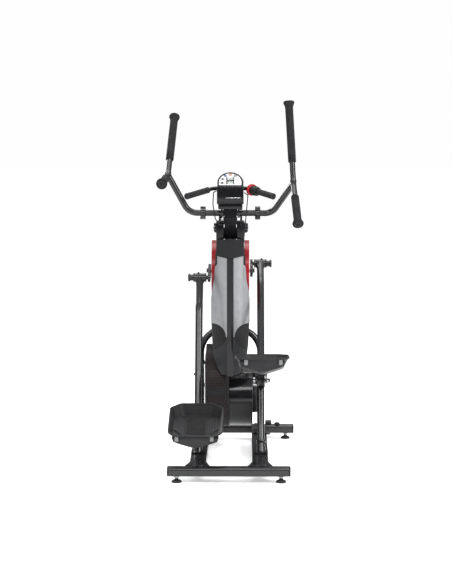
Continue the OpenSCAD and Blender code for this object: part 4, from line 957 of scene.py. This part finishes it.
def buildConsole():
    for node, width in (("console_housing", 0.006), ("console_panel", 0.0007), ("display_window", 0.0004),
            ("media_shelf", 0.004)):
        softened(node + "_finished", node, width, 3)
    place = consolePlace()
    for name, width in (("start", 0.0009), ("up", 0.0007), ("down", 0.0007), ("mode", 0.0007), ("fan", 0.0007)):
        softened(name + "_button_finished", name + "_button", width, 3)
    ink, rings, bright, bezel = bmesh.new(), bmesh.new(), bmesh.new(), bmesh.new()
    w, h = console["glass"]
    cx, cy = console["glassAt"]
    for row, text in ((0.0098, "128"), (-0.0098, "045")):
        for i, letter in enumerate(text):
            digit(ink, place @ moved(cx + (i - 1) * 0.0072, cy + row, 0.0001), 0.0088, figures[letter])
    makePiece("display_figures", ink, segmentInk, "frame", sharp=30)
    for x in (-1, 1):  # dark frame of the display
        block(bezel, (0.0048, h + 0.0060, 0.0014), place @ moved(cx + x * (w / 2 + 0.0012), cy, 0.0004), 0.0004)
    block(bezel, (w, 0.0060, 0.0014), place @ moved(cx, cy, 0.0004), 0.0004)
    # dark bezel over the rim of the white panel
    rim, half, low, middle = bmesh.new(), 0.0506, 0.0064, console["high"] - console["wide"] / 2
    outline = [(half * math.cos(math.radians(a)), middle + half * math.sin(math.radians(a))) for a in range(0, 181, 5)]
    outline += [(-half, low), (half, low)]
    face = rim.faces.new([rim.verts.new((x, y, -0.0002)) for x, y in outline])
    bmesh.ops.inset_region(rim, faces=[face], thickness=0.0065, use_even_offset=True, use_boundary=True)
    bmesh.ops.delete(rim, geom=[face], context="FACES")
    up = bmesh.ops.extrude_face_region(rim, geom=rim.faces[:])
    bmesh.ops.translate(rim, vec=(0, 0, 0.0016), verts=newVerts(up))
    bmesh.ops.recalc_face_normals(rim, faces=rim.faces)
    edges = [e for e in rim.edges if e.calc_face_angle(0) > 0.9 and min(v.co.z for v in e.verts) > 0.001]
    roundOver(rim, edges, 0.0006, 2)
    addShape(bezel, rim, place)
    # thin arc beside the display, and a raised dark surround for each button
    arc = [(0.0215 + 0.0105 * math.cos(a), 0.032 + 0.0165 * math.sin(a), 0.0003)
           for a in [math.radians(-62 + i * 8) for i in range(17)]]
    rod(rings, arc, 0.0006, 0.001, place, 3)
    for x, y in ((0, 0.066), (-0.034, 0.042), (-0.036, 0.020), (-0.022, 0.060), (0.022, 0.060)):
        ring = bmesh.new()
        ends = [(0.003 * (1 if abs(a) < 90 else -1) + 0.0056 * math.cos(math.radians(a)),
                 0.0056 * math.sin(math.radians(a))) for a in range(-170, 190, 20)]
        face = ring.faces.new([ring.verts.new((*end, 0)) for end in ends])
        bmesh.ops.inset_region(ring, faces=[face], thickness=0.0016, use_even_offset=True, use_boundary=True)
        bmesh.ops.delete(ring, geom=[face], context="FACES")
        up = bmesh.ops.extrude_face_region(ring, geom=ring.faces[:])
        bmesh.ops.translate(ring, vec=(0, 0, 0.0007), verts=[v for v in up["geom"]
                if isinstance(v, bmesh.types.BMVert)])
        addShape(bezel, ring, place @ moved(x, y, 0))
    makePiece("panel_arc", rings, buttonGrey, "frame")
    makePiece("panel_bezel", bezel, glossCover, "frame")
    # bright silver strips as painted highlights: one along the ledge, one down the right side of the bezel
    block(bright, (0.067, 0.0016, 0.0022), moved(0.013, 0.0447, 1.1462), 0.0005)
    rod(bright, [(0.0578, 0.002, -0.004), (0.0578, 0.070, -0.004)], 0.0009, 0.002, place, 4)
    makePiece("shelf_painted_highlight", bright, paintedHighlightMetal, "frame")
    # bright strips down the rear edges of the head cover: painted highlights where those edges catch the light
    highlightStrips = bmesh.new()
    for side in bothSides:
        rod(highlightStrips, [(side * 0.0272, 0.0838, 1.0655), (side * 0.0272, 0.1045, 1.0140)], 0.0011, 0.002, fine=4)
    makePiece("head_painted_highlights", highlightStrips, paintedHighlightMetal, "frame")
    back = bmesh.new()
    for x in (-0.045, 0.045):
        for y in (0.012, 0.068):
            turned(back, [(0, 0.0035), (0.001, 0.0031), (0.0014, 0.0018), (0.0008, 0.0014), (0.0008, 0)],
                   place @ moved(x, y, -0.0300) @ turn(180, "X"), 20)
    makePiece("console_screws", back, blackBolt, "frame")


buildConsole()
print("console built")


def buildNeck():
    cheeks, bright = bmesh.new(), bmesh.new()
    for side in bothSides:
        body = moved(side * 0.0460, 0.133, 0.992)
        block(cheeks, (0.034, 0.050, 0.100), body, 0.006, 4)
        block(cheeks, (0.0045, 0.004, 0.080), moved(side * 0.0475, 0.1075, 0.990), 0.0015, 3)
        far = 0.0165 if side == right else 0.0120
        turned(cheeks, [(-0.004, 0), (-0.004, 0.0195), (0, 0.0222), (far - 0.006, 0.0222), (far - 0.002, 0.0205),
                (far, 0.016), (far + 0.0006, 0)], moved(side * 0.0620, 0.140, 1.010) @ turn(side * 90, "Y"), 40)
        turned(bright, [(0, 0.0052), (0.0010, 0.0048), (0.0014, 0.0026), (0.0006, 0.0022), (0.0006, 0)],
               moved(side * (0.0624 + far), 0.140, 1.010) @ turn(side * 90, "Y"), 24)
    turned(cheeks, [(-0.0316, 0), (-0.0316, 0.0190), (-0.0300, 0.0205), (0.0300, 0.0205), (0.0316, 0.0190), (0.0316,
        0)],
           moved(0, *pivot) @ turn(90, "Y"), 40)
    block(cheeks, (0.108, 0.018, 0.026), moved(0, 0.090, 1.107), 0.005, 3)
    makePiece("neck_cheeks", cheeks, glossCover, "frame")
    makePiece("neck_screws", bright, blackBolt, "frame")


buildNeck()
print("neck built")

# pulley, brake bracket, resistance ring and fan grille, with their edges rounded

def buildDrive():
    for node, width in (("idler_pulley", 0.0006), ("brake_bracket", 0.0005), ("resistance_ring", 0.0018),
            ("fan_grille", 0.0016)):
        softened(node + "_finished", node, width, 2)


buildDrive()
print("drive built")
